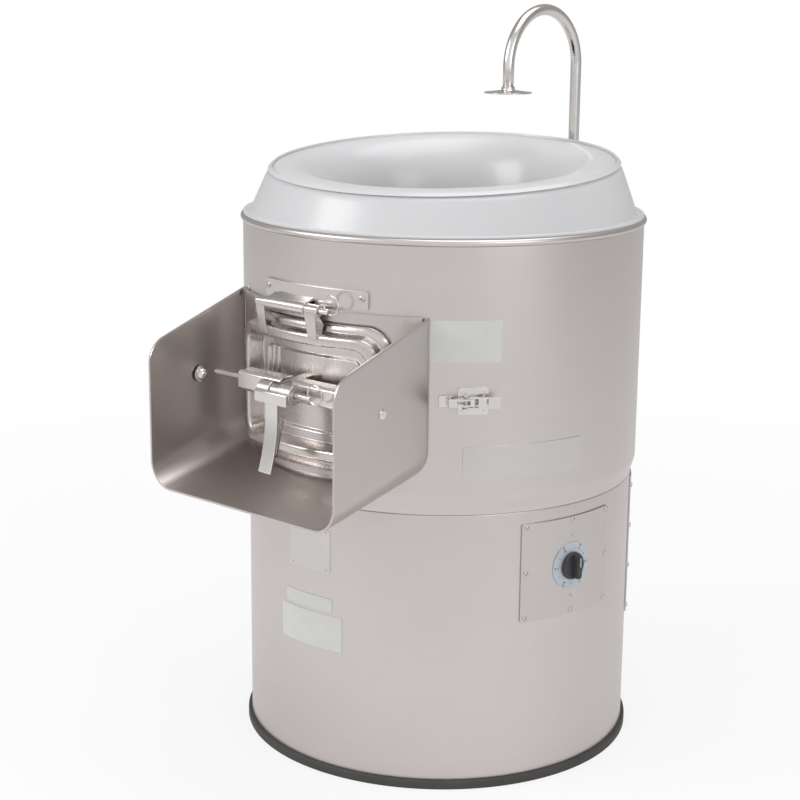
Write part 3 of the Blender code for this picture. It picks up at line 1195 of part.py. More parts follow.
def latch_slab(name, outline, width, finish, middle=0.0):
    """A prism across the toggle latch over an (along, out) outline."""
    upright = Matrix.Rotation(math.pi / 2, 4, "X")
    return flat(name, [outline], width, finish, toggle_place() @ Matrix.Translation((0.0, middle, 0.0)) @ upright)


def cross_pin(name, along, out, width, radius):
    """A pin across the toggle latch."""
    start = toggle_place() @ Vector((along, -width / 2, out))
    end = toggle_place() @ Vector((along, width / 2, out))
    return rod(name, radius, start, end, None)


def toggle():
    """Draw latch: a base with two ears, a lever on them, a hook on the lever and a keeper.

    The lever's roof starts behind the hook, which swings up between the cheeks as the lever lifts.
    """
    back = drum_core("toggle_back", DRUM_RADIUS + GAP, TOGGLE_Z - TOGGLE_HEIGHT, TOGGLE_Z + TOGGLE_HEIGHT)
    plate = TOGGLE_PLATE
    half = TOGGLE_LENGTH / 2
    pivot = -TOGGLE_LENGTH / 4
    pivot_height = plate + TOGGLE_PIN * 3
    hook_pivot = pivot + TOGGLE_THROW
    hook_height = pivot_height + TOGGLE_PIN * 2 + plate * HOOK_RISE_SHARE
    lever_half = TOGGLE_WIDTH / 2
    cheek = plate * 3 / 4
    base = block("toggle_base", (TOGGLE_LENGTH, TOGGLE_HEIGHT, plate * 3), (0.0, 0.0, -plate / 2), STEEL)
    base.matrix_world = toggle_place()
    cut(base, back)
    ear_gap = lever_half + GAP * 2
    ear = [(pivot - TOGGLE_EAR, -plate / 4), (pivot + TOGGLE_EAR, -plate / 4), (pivot + TOGGLE_EAR, pivot_height)]
    ear += arc(pivot, pivot_height, TOGGLE_EAR, 0.0, 180.0)[1:]
    for name, side in (("low", -1), ("high", 1)):
        ear_piece = latch_slab("toggle_ear_" + name, ear, cheek, None, side * (ear_gap + cheek / 2))
        cut(ear_piece, back)
        join(base, ear_piece)
    cut(base, cross_pin("toggle_ear_bore", pivot, pivot_height, TOGGLE_HEIGHT, TOGGLE_PIN + GAP))
    top = hook_height + plate * 3 / 2
    roof = top + cheek
    end = half + TOGGLE_GRIP
    start = hook_pivot + TOGGLE_EAR + plate / 2
    lever_profile = [(start, top), (end - TOGGLE_EAR, top), (end, top + plate), (end, roof + plate),
                     (end - TOGGLE_EAR, roof), (start, roof)]
    lever = latch_slab("toggle_lever", lever_profile, lever_half * 2, BRIGHT)
    round_end = pivot_height - plate - GAP * 2
    side_profile = arc(pivot, pivot_height, round_end, 120.0, 270.0)
    side_profile += [(hook_pivot + TOGGLE_EAR, pivot_height), (hook_pivot + TOGGLE_EAR * 3, roof - plate / 4),
                     (hook_pivot - TOGGLE_PIN * 2, roof - plate / 4)]
    for name, side in (("low", -1), ("high", 1)):
        join(lever, latch_slab("toggle_cheek_" + name, side_profile, cheek, None, side * (lever_half - cheek / 2)))
    join(lever, cross_pin("toggle_pivot", pivot, pivot_height, (ear_gap + cheek) * 2, TOGGLE_PIN))
    join(lever, cross_pin("toggle_hook_pin", hook_pivot, hook_height, (lever_half - cheek / 2) * 2, TOGGLE_PIN))
    nose = -half - TOGGLE_REACH
    low = hook_height - TOGGLE_PIN - plate / 4
    high = hook_height + TOGGLE_PIN + plate / 4
    lip = plate * HOOK_LIP_SHARE
    hook = arc(hook_pivot, hook_height, high - hook_height, -90.0, 90.0)
    hook += [(nose - plate, high), (nose - plate, lip), (nose, lip), (nose, low)]
    bail = latch_slab("toggle_hook", hook, (lever_half - cheek) * 2 - GAP * 4, BRIGHT)
    cut(bail, cross_pin("toggle_hook_bore", hook_pivot, hook_height, TOGGLE_HEIGHT, TOGGLE_PIN + GAP))
    keep = [(nose - TOGGLE_REACH, -TOGGLE_EAR), (nose + plate + TOGGLE_EAR, -TOGGLE_EAR),
            (nose + plate + TOGGLE_EAR, lip / 2), (nose + plate + GAP, lip / 2), (nose + plate + GAP, low - GAP * 2),
            (nose + GAP, low - GAP * 2), (nose + GAP, lip / 2), (nose - TOGGLE_REACH, lip / 2)]
    keeper = latch_slab("toggle_keeper", keep, lever_half * 2, STEEL)
    cut(keeper, back)


# Rinse pipe, splash disc, clips and water valve

def pipe_route():
    """Centre line of the rinse pipe: out of the cabinet, up the rear and over the collar."""
    base = (PIPE_Y - PIPE_BEND, PIPE_BOTTOM + PIPE_BEND)
    centre_y = PIPE_Y - PIPE_ARCH
    flat_route = [(PIPE_INLET, PIPE_BOTTOM)] + arc(*base, PIPE_BEND, -90.0, 0.0)
    flat_route += arc(centre_y, PIPE_ARCH_Z, PIPE_ARCH, 0.0, 180.0, PIPE_ARCH_POINTS)
    flat_route += [(centre_y - PIPE_ARCH, PIPE_TIP)]
    return [Vector((0.0, y, z)) for y, z in flat_route]


def rinse_pipe():
    """Rinse pipe with its grommet, clips, splash disc and water valve."""
    route = pipe_route()
    pipe = wire("gooseneck_pipe", route, PIPE_RADIUS, BRIGHT, sides=2)
    start = route[0] + (route[0] - route[1]).normalized() * OVERRUN
    end = route[-1] + (route[-1] - route[-2]).normalized() * OVERRUN
    cut(pipe, wire("gooseneck_bore", [start] + route[1:-1] + [end], PIPE_RADIUS - PIPE_WALL, None, sides=1))
    bore = PIPE_RADIUS + GAP
    lip = SPLASH_THICK * 4
    tip_y = PIPE_Y - PIPE_ARCH * 2
    turned("deflector_disc", [(bore + PIPE_WALL, PIPE_TIP + lip), (bore + PIPE_WALL, PIPE_TIP + SPLASH_THICK),
                              (SPLASH_RADIUS, PIPE_TIP - SPLASH_THICK), (SPLASH_RADIUS, PIPE_TIP - SPLASH_THICK * 2),
                              (bore, PIPE_TIP), (bore, PIPE_TIP + lip)], BRIGHT, ring=True,
           place=Matrix.Translation((0.0, tip_y, 0.0)))
    for i, height in enumerate(CLIP_HEIGHTS):
        band = turned(f"pipe_clip_{i + 1}", tube_profile(bore + CLIP_THICK, bore, height - CLIP_WIDTH / 2,
                                                         height + CLIP_WIDTH / 2), STEEL, steps=SMALL_STEPS,
                      ring=True, place=Matrix.Translation((0.0, PIPE_Y, 0.0)))
        near = DRUM_RADIUS - OVERRUN
        far = PIPE_Y - bore - CLIP_THICK / 2
        foot = block(f"clip_foot_{i + 1}", (CLIP_WIDTH, far - near, CLIP_WIDTH), (0.0, (far + near) / 2, height), None)
        cut(foot, drum_core(f"clip_back_{i + 1}", DRUM_RADIUS + GAP, height - CLIP_WIDTH, height + CLIP_WIDTH))
        join(band, foot)
    lean = Matrix.Translation((0.0, 0.0, PIPE_BOTTOM)) @ Matrix.Rotation(-math.pi / 2, 4, "X")
    groove = GROMMET_RADIUS * 3 / 4 - GAP
    inside = CABINET_INNER - GAP * 4
    outside = CABINET_RADIUS + GAP
    thick = GROMMET_RADIUS / 5
    turned("pipe_grommet", [(GROMMET_RADIUS - thick / 2, outside + thick), (GROMMET_RADIUS, outside),
                            (groove, outside), (groove, inside - thick), (bore, inside - thick),
                            (bore, outside + thick)], RUBBER, steps=TURN_STEPS, ring=True, place=lean)
    size = VALVE_SIZE
    back = PIPE_INLET - OVERRUN
    valve = block("water_valve", (size, size, size), (0.0, back + size / 2 - OVERRUN, PIPE_BOTTOM), CAST)
    foot = block("valve_foot", (size, OVERRUN * 4, FLOOR_SHEET),
                 (0.0, CABINET_INNER - OVERRUN, PIPE_BOTTOM - size / 2), None)
    trim(foot, drum_core("valve_foot_round", CABINET_INNER - GAP, PIPE_BOTTOM - size, PIPE_BOTTOM))
    join(valve, foot)
    cut(valve, rod("valve_port", bore, (0.0, PIPE_INLET - GAP, PIPE_BOTTOM), (0.0, PIPE_Y, PIPE_BOTTOM), None))
    coil_front = back - OVERRUN - GAP
    rod("valve_coil", size * COIL_SHARE, (0.0, coil_front - size, PIPE_BOTTOM), (0.0, coil_front, PIPE_BOTTOM), BLACK,
        steps=SMALL_STEPS)


base()
cabinet()
drain()
hopper()
hopper_floor()
bearings()
shaft()
disc()
drive()
collar()
chute()
door()
hinge()
latch()
strikes()
timer()
side_panel()
toggle()
rinse_pipe()
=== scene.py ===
# Electric potato peeler in satin stainless sheet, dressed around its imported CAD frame.
# The sections follow the machine as it is put together, from the floor up.

import math

import bmesh
import bpy
import numpy as np
from mathutils import Matrix, Vector


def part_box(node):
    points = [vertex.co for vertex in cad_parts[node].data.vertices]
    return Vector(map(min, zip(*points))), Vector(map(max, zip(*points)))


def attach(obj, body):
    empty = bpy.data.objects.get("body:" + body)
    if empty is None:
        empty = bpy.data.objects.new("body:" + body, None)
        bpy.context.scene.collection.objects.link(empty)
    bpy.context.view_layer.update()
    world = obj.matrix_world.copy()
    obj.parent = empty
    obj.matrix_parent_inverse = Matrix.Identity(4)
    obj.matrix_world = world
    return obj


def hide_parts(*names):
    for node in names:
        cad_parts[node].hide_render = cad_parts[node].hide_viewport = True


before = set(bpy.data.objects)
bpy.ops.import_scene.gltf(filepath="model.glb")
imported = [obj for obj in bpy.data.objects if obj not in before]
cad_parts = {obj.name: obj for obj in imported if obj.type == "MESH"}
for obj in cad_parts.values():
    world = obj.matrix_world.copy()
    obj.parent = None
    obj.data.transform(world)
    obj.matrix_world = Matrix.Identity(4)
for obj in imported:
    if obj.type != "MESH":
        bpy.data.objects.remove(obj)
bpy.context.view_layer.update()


# Camera, light and floor
# The machine stands on a white studio floor. The camera looks down on it a little, from the right of
# the chute. A soft key lamp stands at the left and a fill at the right.

PHOTO_WIDTH = 800.0
FOCAL_PIXELS = 1770.364
SENSOR = 36.0
EYE = Vector((1.5926, -1.8980, 1.0654))
EYE_RIGHT = Vector((0.7492, 0.6623, 0.0093))
EYE_UP = Vector((-0.1609, 0.1685, 0.9725))
EYE_FORWARD = Vector((-0.6425, 0.7301, -0.2328))

lens = bpy.data.cameras.new("camera")
lens.sensor_width = SENSOR
lens.sensor_fit = "HORIZONTAL"
lens.lens = FOCAL_PIXELS / PHOTO_WIDTH * SENSOR
camera = bpy.data.objects.new("camera", lens)
bpy.context.scene.collection.objects.link(camera)
turn = Matrix((EYE_RIGHT, EYE_UP, -EYE_FORWARD)).transposed().to_4x4()
turn.translation = EYE
camera.matrix_world = turn
bpy.context.scene.camera = camera
bpy.context.scene.view_settings.view_transform = "Standard"


def lamp(name, place, aim, size, power):
    """A square soft lamp aimed at a point."""
    light = bpy.data.lights.new(name, "AREA")
    light.shape = "SQUARE"
    light.size = size
    light.energy = power
    holder = bpy.data.objects.new(name, light)
    bpy.context.scene.collection.objects.link(holder)
    heading = Vector(aim) - Vector(place)
    holder.matrix_world = (Matrix.Translation(Vector(place))
                           @ heading.to_track_quat("-Z", "Y").to_matrix().to_4x4())
    return holder


MIDDLE = (0.0, 0.0, 0.5)
lamp("key", (-1.6, -2.6, 2.4), MIDDLE, 1.6, 46.0)
lamp("fill", (2.8, -0.6, 1.6), MIDDLE, 1.4, 14.0)
lamp("top", (0.4, 0.3, 3.0), MIDDLE, 2.0, 30.0)


class Value:
    """A number in a node tree. Sums and products of it add Math nodes."""

    def __init__(self, tree, socket):
        self.tree = tree
        self.socket = socket

    def maths(self, operation, *terms):
        step = self.tree.nodes.new("ShaderNodeMath")
        step.operation = operation
        for slot, term in zip(step.inputs, terms):
            feed(self.tree, slot, term)
        return Value(self.tree, step.outputs[0])

    def __add__(self, other):
        return self.maths("ADD", self, other)

    def __sub__(self, other):
        return self.maths("SUBTRACT", self, other)

    def __rsub__(self, other):
        return self.maths("SUBTRACT", other, self)

    def __mul__(self, other):
        return self.maths("MULTIPLY", self, other)

    def __truediv__(self, other):
        return self.maths("DIVIDE", self, other)

    def least(self, other):
        return self.maths("MINIMUM", self, other)

    def most(self, other):
        return self.maths("MAXIMUM", self, other)

    __radd__ = __add__
    __rmul__ = __mul__


def feed(tree, slot, term):
    """Link a Value to a socket, or set the socket to a plain number or colour."""
    if isinstance(term, Value):
        tree.links.new(term.socket, slot)
    elif isinstance(term, (tuple, list)) and len(slot.default_value) == 4:
        slot.default_value = (*term[:3], 1.0)
    else:
        slot.default_value = term


def add_node(tree, kind, settings, inputs, output=0):
    """Add one node: its settings first, then its sockets by name or number."""
    step = tree.nodes.new(kind)
    for key, value in settings.items():
        if key == "stops":
            for stop, (place, shade) in zip(step.color_ramp.elements, value):
                stop.position = place
                stop.color = (*shade, 1.0)
        else:
            setattr(step, key, value)
    for key, term in inputs.items():
        feed(tree, step.inputs[key], term)
    return Value(tree, step.outputs[output])


world = bpy.data.worlds.new("studio")
bpy.context.scene.world = world
world.use_nodes = True
sky = world.node_tree
ray = add_node(sky, "ShaderNodeLightPath", {}, {})
seen = Value(sky, ray.socket.node.outputs["Is Camera Ray"])
mirrored = Value(sky, ray.socket.node.outputs["Is Glossy Ray"])
heading = add_node(sky, "ShaderNodeTexCoord", {}, {})
split = add_node(sky, "ShaderNodeSeparateXYZ", {}, {0: heading})
across_sky = Value(sky, split.socket.node.outputs[0])
along_sky = Value(sky, split.socket.node.outputs[1])
STUDIO_FRONT = (0.45, -0.89)    # the way the brighter half of the studio lies
STUDIO_DIM = 0.40
STUDIO_GAIN = 0.62
ROOM_LIGHT = 0.55
towards = across_sky * STUDIO_FRONT[0] + along_sky * STUDIO_FRONT[1]
studio = STUDIO_DIM + towards.most(0.0) * STUDIO_GAIN
level = seen + (1.0 - seen) * (mirrored * studio + (1.0 - mirrored) * ROOM_LIGHT)
background = sky.nodes["Background"]
background.inputs["Color"].default_value = (1.0, 1.0, 1.0, 1.0)
feed(sky, background.inputs["Strength"], level)

FLOOR_SPREAD = 14.0
FLOOR_DROP = 0.0005
FLOOR_NEAR = 0.7             # full shadow on the paper up to here
FLOOR_FAR = 2.2              # plain white beyond here
PAPER_GLOW = (0.80, 0.20, 0.35)     # near, added far away, and in mirrors
floor_mesh = bpy.data.meshes.new("studio_floor")
corners = [(x * FLOOR_SPREAD, y * FLOOR_SPREAD, -FLOOR_DROP) for x, y in ((-1, -1), (1, -1), (1, 1), (-1, 1))]
floor_mesh.from_pydata(corners, [], [(0, 1, 2, 3)])
floor = bpy.data.objects.new("studio_floor", floor_mesh)
bpy.context.scene.collection.objects.link(floor)
paper = bpy.data.materials.new("studio_paper")
paper.use_nodes = True
tree = paper.node_tree
tree.nodes.clear()
matt = add_node(tree, "ShaderNodeBsdfDiffuse", {}, {"Color": (0.86, 0.86, 0.86)})
glow = add_node(tree, "ShaderNodeEmission", {}, {"Color": (1.0, 1.0, 1.0), "Strength": 1.0})
path = add_node(tree, "ShaderNodeLightPath", {}, {})
camera_ray = Value(tree, path.socket.node.outputs["Is Camera Ray"])
gloss_ray = Value(tree, path.socket.node.outputs["Is Glossy Ray"])
spot = add_node(tree, "ShaderNodeTexCoord", {}, {}, 3)
away = add_node(tree, "ShaderNodeVectorMath", {"operation": "LENGTH"}, {0: spot}, 1)
fade = ((away - FLOOR_NEAR) / (FLOOR_FAR - FLOOR_NEAR)).most(0.0).least(1.0)
near_glow, far_glow, mirror_glow = PAPER_GLOW
white_share = camera_ray * (near_glow + fade * far_glow) + gloss_ray * mirror_glow
blend = add_node(tree, "ShaderNodeMixShader", {}, {0: white_share, 1: matt, 2: glow})
surface_out = tree.nodes.new("ShaderNodeOutputMaterial")
tree.links.new(blend.socket, surface_out.inputs["Surface"])
floor_mesh.materials.append(paper)


# Base ring
# A black moulded rubber ring under the cabinet, slightly wider than the sheet it carries. Its upper
# edge is rounded and its outer face is a little scuffed.

def skin(name, grid, wrap_rows=False, wrap_columns=False):
    """A mesh over a grid of points shaped (rows, columns, 3), joined to itself where it wraps."""
    rows, columns = grid.shape[:2]
    r = np.arange(rows if wrap_rows else rows - 1)
    c = np.arange(columns if wrap_columns else columns - 1)
    r, c = np.meshgrid(r, c, indexing="ij")
    r2 = (r + 1) % rows
    c2 = (c + 1) % columns
    faces = np.stack([r * columns + c, r2 * columns + c, r2 * columns + c2, r * columns + c2], axis=-1)
    mesh = bpy.data.meshes.new(name)
    mesh.from_pydata(grid.reshape(-1, 3).tolist(), [], faces.reshape(-1, 4).tolist())
    mesh.update()
    return mesh


def piece(name, mesh, finish, body, slot, *stands_for):
    """Link a mesh as a piece that rides on a body and stands for the CAD nodes named last."""
    made = bpy.data.objects.new(name, mesh)
    bpy.context.scene.collection.objects.link(made)
    mesh.materials.clear()
    mesh.materials.append(finish)
    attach(made, body)
    if stands_for:
        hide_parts(*stands_for)
    return made


def smooth(mesh, angle=35.0):
    """Smooth shading, with edges sharper than the angle kept crisp."""
    mesh.shade_smooth()
    mesh.set_sharp_from_angle(angle=math.radians(angle))
    return mesh


def revolve(name, profile, segments=256):
    """A closed (radius, height) outline, clockwise, carried round the drum axis.

    Point = (r cos a, r sin a, z) for each outline point and each angle a.
    """
    profile = np.asarray(profile, float)
    angle = np.linspace(0.0, 2 * np.pi, segments, endpoint=False)
    radius = profile[:, 0][:, None]
    grid = np.stack([radius * np.cos(angle), radius * np.sin(angle),
                     np.repeat(profile[:, 1][:, None], segments, axis=1)], axis=-1)
    return smooth(skin(name, grid, wrap_rows=True, wrap_columns=True))


def round_corner(before, corner, after, radius, steps=4):
    """Points of an arc that rounds one corner of an outline, by a quadratic between its two ends."""
    before, corner, after = (np.asarray(p, float) for p in (before, corner, after))
    start = corner + (before - corner) / np.linalg.norm(before - corner) * radius
    end = corner + (after - corner) / np.linalg.norm(after - corner) * radius
    t = np.linspace(0.0, 1.0, steps + 1)[:, None]
    return (1 - t) ** 2 * start + 2 * t * (1 - t) * corner + t ** 2 * end


def rounded(points, radii, steps=4, closed=True):
    """An outline with each corner rounded by its own radius; a radius of zero keeps the corner."""
    out = []
    count = len(points)
    for i, (corner, radius) in enumerate(zip(points, radii)):
        ends = not closed and i in (0, count - 1)
        if radius and not ends:
            out.append(round_corner(points[i - 1], corner, points[(i + 1) % count], radius, steps))
        else:
            out.append(np.asarray([corner], float))
    return np.concatenate(out)


class Finish:
    """A material of the machine: its Principled shader and the nodes that feed it."""

    def __init__(self, name, colour, roughness, metallic=0.0):
        self.material = bpy.data.materials.new(name)
        self.material.use_nodes = True
        self.tree = self.material.node_tree
        self.shader = self.tree.nodes["Principled BSDF"]
        self.set("Base Color", colour)
        self.set("Roughness", roughness)
        self.set("Metallic", metallic)

    def set(self, socket, term):
        feed(self.tree, self.shader.inputs[socket], term)

    def node(self, kind, settings=None, inputs=None, output=0):
        return add_node(self.tree, kind, settings or {}, inputs or {}, output)

    def place(self, stretch=(1.0, 1.0, 1.0)):
        """Object coordinates, stretched along each axis."""
        coordinate = self.node("ShaderNodeTexCoord", output=3)
        return self.node("ShaderNodeMapping", {}, {"Vector": coordinate, "Scale": stretch})

    def noise(self, place, scale, detail=3.0, roughness=0.5):
        return self.node("ShaderNodeTexNoise", {}, {"Vector": place, "Scale": scale, "Detail": detail,
                                                    "Roughness": roughness})

    def mix(self, factor, first, second):
        blended = self.node("ShaderNodeMix", {"data_type": "RGBA"}, {0: factor}, output=2)
        node = blended.socket.node
        feed(self.tree, node.inputs[6], first)
        feed(self.tree, node.inputs[7], second)
        return blended

    def bump(self, height, strength, distance):
        self.set("Normal", self.node("ShaderNodeBump", {}, {"Strength": strength, "Distance": distance,
                                                            "Height": height}))


def rubber_finish(name, shade):
    """Matt black rubber with a fine grain and dusty patches."""
    finish = Finish(name, shade, 0.6)
    cloud = finish.noise(finish.place(), 18.0)
    finish.set("Base Color", finish.mix(cloud, shade, tuple(c * 2.4 for c in shade)))
    finish.set("Roughness", 0.5 + cloud * 0.3)
    finish.bump(finish.noise(finish.place(), 900.0), 0.15, 0.0004)
    return finish.material


low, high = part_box("base_ring")
base_radius = high.x
base_height = high.z
BASE_WALL = 0.0175
BASE_ROUND = 0.003
base_inner = base_radius - BASE_WALL
outline = [(base_radius, base_height), (base_radius, 0.0), (base_inner, 0.0), (base_inner, base_height)]
rubber = rubber_finish("base_rubber", (0.035, 0.033, 0.032))
piece("base_ring_moulding", revolve("base_ring_moulding", rounded(outline, [BASE_ROUND, 0.001, 0.0, 0.0])),
      rubber, "body", "rubber", "base_ring")


# Lower cabinet
# A drum rolled from thin stainless sheet, satin brushed round its length, with an inward lip at the top
# that carries the hopper. It is open behind the timer panel and the side panel.

SHEET_SHADE = (0.640, 0.595, 0.580)


def sheet_finish(name, shade=SHEET_SHADE, roughness=0.34, along=(3.0, 3.0, 420.0), cloud_size=3.5):
    """Satin brushed stainless: fine lines across one axis, soft clouds and small handling marks."""
    finish = Finish(name, shade, roughness, 1.0)
    lines = finish.noise(finish.place(along), 1.0, 4.0, 0.7)
    cloud = finish.noise(finish.place(), cloud_size, 4.0, 0.6)
    marks = finish.noise(finish.place(), 46.0, 5.0, 0.75)
    tint = finish.mix(cloud * 0.6 + lines * 0.4, tuple(c * 0.88 for c in shade),
                      tuple(min(c * 1.08, 1.0) for c in shade))
    finish.set("Base Color", tint)
    finish.set("Roughness", roughness - 0.08 + lines * 0.08 + cloud * 0.05 + marks * 0.06)
    finish.bump(lines * 0.7 + marks * 0.3, 0.10, 0.0003)
    return finish.material


def with_faces(name, mesh, faces):
    """A new mesh: the old one's faces and some more on the same vertices."""
    made = bpy.data.meshes.new(name)
    made.from_pydata([v.co[:] for v in mesh.vertices], [], [tuple(p.vertices) for p in mesh.polygons] + faces)
    return made


def two_caps(count):
    """The end faces of two loops of as many points, the second facing the other way."""
    return [tuple(range(count)), tuple(range(2 * count - 1, count - 1, -1))]


def opening_block(name, matrix, half, bottom, top, corner, depth, steps=8):
    """A rounded-box cutter: its outline is carried along the local Z axis of the given matrix."""
    outline = rounded([(half, bottom), (half, top), (-half, top), (-half, bottom)], [corner] * 4, steps)
    ends = np.array([-depth / 2, depth / 2])
    grid = np.stack([np.repeat(outline[:, 0][None], 2, axis=0), np.repeat(outline[:, 1][None], 2, axis=0),
                     np.repeat(ends[:, None], len(outline), axis=1)], axis=-1)
    mesh = skin(name, grid, wrap_columns=True)
    closed = with_faces(name, mesh, two_caps(len(outline)))
    closed.transform(matrix)
    return tidy_normals(closed)


def tidy_normals(mesh):
    """Turn every face of a closed mesh outwards."""
    work = bmesh.new()
    work.from_mesh(mesh)
    bmesh.ops.recalc_face_normals(work, faces=work.faces)
    work.to_mesh(mesh)
    work.free()
    return mesh


def apply_boolean(target, cutters):
    """Cut a mesh by others, applied at once, and return the result."""
    holder = bpy.data.objects.new("holder", target)
    bpy.context.scene.collection.objects.link(holder)
    others = []
    for cutter in cutters:
        other = bpy.data.objects.new("cutter", cutter)
        bpy.context.scene.collection.objects.link(other)
        others.append(other)
        step = holder.modifiers.new("cut", "BOOLEAN")
        step.operation = "DIFFERENCE"
        step.solver = "EXACT"
        step.object = other
    bpy.context.view_layer.update()
    depsgraph = bpy.context.evaluated_depsgraph_get()
    result = bpy.data.meshes.new_from_object(holder.evaluated_get(depsgraph))
    for made in others + [holder]:
        bpy.data.objects.remove(made, do_unlink=True)
    return smooth(result)


def facing(angle, radius, height):
    """A place on the drum: local X round it, local Y up, local Z outwards; angle from the chute side."""
    a = math.radians(angle)
    side = Vector((math.cos(a), math.sin(a), 0.0))
    out = Vector((math.sin(a), -math.cos(a), 0.0))
    made = Matrix((side, Vector((0.0, 0.0, 1.0)), out)).transposed().to_4x4()
    made.translation = out * radius + Vector((0.0, 0.0, height))
    return made


low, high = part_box("lower_body")
cabinet_radius = high.x
cabinet_bottom = low.z
seam = high.z
SHEET = 0.002
LIP = 0.018
SEAM_ROUND = 0.0015
outline = [(cabinet_radius, seam), (cabinet_radius, cabinet_bottom), (cabinet_radius - SHEET, cabinet_bottom),
           (cabinet_radius - SHEET, seam - SHEET), (cabinet_radius - SHEET - LIP, seam - SHEET),
           (cabinet_radius - SHEET - LIP, seam)]
drum = revolve("cabinet_drum", rounded(outline, [SEAM_ROUND, 0.0, 0.0, 0.0, 0.0, 0.0]))
PANEL_LAP = 0.014
CUT_DEPTH = 0.05
PANEL_PLACES = (("timer_panel", 79.95, 33.1), ("side_panel", 137.75, 32.5))     # node, centre, span
windows = []
for node, centre, span in PANEL_PLACES:
    low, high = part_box(node)
    half = cabinet_radius * math.sin(math.radians(span / 2)) - PANEL_LAP
    middle = (low.z + high.z) / 2
    rise = (high.z - low.z) / 2 - PANEL_LAP
    windows.append(opening_block(node + "_window", facing(centre, cabinet_radius, middle), half, -rise, rise,
                                 PANEL_LAP / 2, CUT_DEPTH))
drum = apply_boolean(drum, windows)
cabinet_steel = sheet_finish("cabinet_steel")
piece("cabinet_drum", drum, cabinet_steel, "body", "steel", "lower_body")


# Hopper shell
# The upper drum, rolled from thicker sheet. It widens in a soft shoulder over the seam, ends in a rolled
# rim at the top, and has the door opening cut through its front.

low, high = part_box("hopper_shell")
ROLL = 0.0046
ROLL_INSET = 0.00115
SHELL_SHEET = 0.003
SHOULDER = 0.026
rim_radius = high.x
drum_radius = rim_radius - ROLL + ROLL_INSET
rim_height = high.z - ROLL
shell_foot = low.z
t = np.linspace(0.0, 1.0, 12)
ease = t * t * (3.0 - 2.0 * t)
shoulder = np.stack([drum_radius - (drum_radius - cabinet_radius) * ease, shell_foot + SHOULDER * (1.0 - t)],
                    axis=1)
a = np.radians(np.linspace(90.0, -90.0, 13))
roll = np.stack([drum_radius - ROLL_INSET + ROLL * np.cos(a), rim_height + ROLL * np.sin(a)], axis=1)
shell_inner = drum_radius - SHELL_SHEET
inner = np.array([(cabinet_radius - SHELL_SHEET, shell_foot), (shell_inner, shell_foot + SHOULDER),
                  (shell_inner, rim_height + ROLL * 0.6)])
outline = np.concatenate([roll, [(drum_radius, rim_height - ROLL)], shoulder, inner])
DOOR_LAP = 0.0225
door_top = 0.6310
door_bottom = 0.4340
door_half = 0.1330
opening_half = door_half - DOOR_LAP
opening_rise = (door_top - door_bottom) / 2 - DOOR_LAP
door_middle = (door_top + door_bottom) / 2
OPENING_CORNER = 0.024
DOOR_CUT = 0.08
hole_at = facing(0.0, drum_radius, door_middle)
hole = opening_block("door_hole", hole_at, opening_half, -opening_rise, opening_rise, OPENING_CORNER,
                     DOOR_CUT)
shell = apply_boolean(revolve("hopper_drum", outline), [hole])
piece("hopper_drum", shell, sheet_finish("hopper_steel"), "body", "steel", "hopper_shell")


# Feed collar
# A light grey moulded ring that drops into the rim. It stands higher at the rear and funnels down to
# the throat. Its surface has a soft gloss.

low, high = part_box("feed_collar")
COLLAR_RADIUS = 0.270
COLLAR_SHOULDER = 0.246
COLLAR_CREST_RADIUS = 0.214
COLLAR_THROAT = 0.160
COLLAR_CREST = 0.818
COLLAR_DROP = 0.016
COLLAR_DEPTH = 0.085
COLLAR_WALL = 0.003
COLLAR_LEDGE = 0.0095
COLLAR_SPIGOT = 0.026
COLLAR_TILT = 0.085
COLLAR_TILT_ANGLE = 200.0
BROW_TURN = 65.0
BROW_BEND = 0.010
EDGE_CUT = 0.0006
FIT = 0.0003                    # gap between seated pieces
collar_foot = rim_height + ROLL + FIT
throat_low = COLLAR_CREST - COLLAR_DEPTH
a = np.radians(np.linspace(0.0, 90.0, 22))
funnel = np.stack([COLLAR_CREST_RADIUS - (COLLAR_CREST_RADIUS - COLLAR_THROAT) * np.cos(a),
                   throat_low + COLLAR_DEPTH * np.sin(a)], axis=1)
a = np.radians(np.linspace(0.0, BROW_TURN, 14))[1:]
brow_out = (COLLAR_SHOULDER - COLLAR_CREST_RADIUS) * np.sin(a) / math.sin(math.radians(BROW_TURN))
brow = np.stack([COLLAR_CREST_RADIUS + brow_out, COLLAR_CREST - COLLAR_DROP * (1 - np.cos(a))], axis=1)
t = np.linspace(0.0, 1.0, 8)[1:, None]
wall = brow[-1] + (np.array([COLLAR_RADIUS, collar_foot + COLLAR_WALL]) - brow[-1]) * t
bend = round_corner(brow[-2], brow[-1], wall[2], BROW_BEND, 6)
path = np.concatenate([funnel, brow[:-2], bend, wall[1:]])
step = np.gradient(path, axis=0)
step /= np.linalg.norm(step, axis=1)[:, None]
under = path + np.stack([step[:, 1], -step[:, 0]], axis=1) * COLLAR_WALL
ledge = COLLAR_RADIUS + COLLAR_LEDGE
skirt = np.array([(ledge - EDGE_CUT, collar_foot + COLLAR_WALL),
                  (ledge, collar_foot + COLLAR_WALL - EDGE_CUT),
                  (ledge, collar_foot), (COLLAR_RADIUS, collar_foot),
                  (COLLAR_RADIUS, collar_foot - COLLAR_SPIGOT),
                  (COLLAR_RADIUS - COLLAR_WALL, collar_foot - COLLAR_SPIGOT)])
collar = revolve("feed_collar_moulding", np.concatenate([path, skirt, under[::-1]]))
points = np.zeros(len(collar.vertices) * 3)
collar.vertices.foreach_get("co", points)
points = points.reshape(-1, 3)
lean = math.radians(COLLAR_TILT_ANGLE)
share = np.clip((points[:, 2] - collar_foot - COLLAR_WALL) / (COLLAR_CREST - collar_foot), 0.0, 1.0)
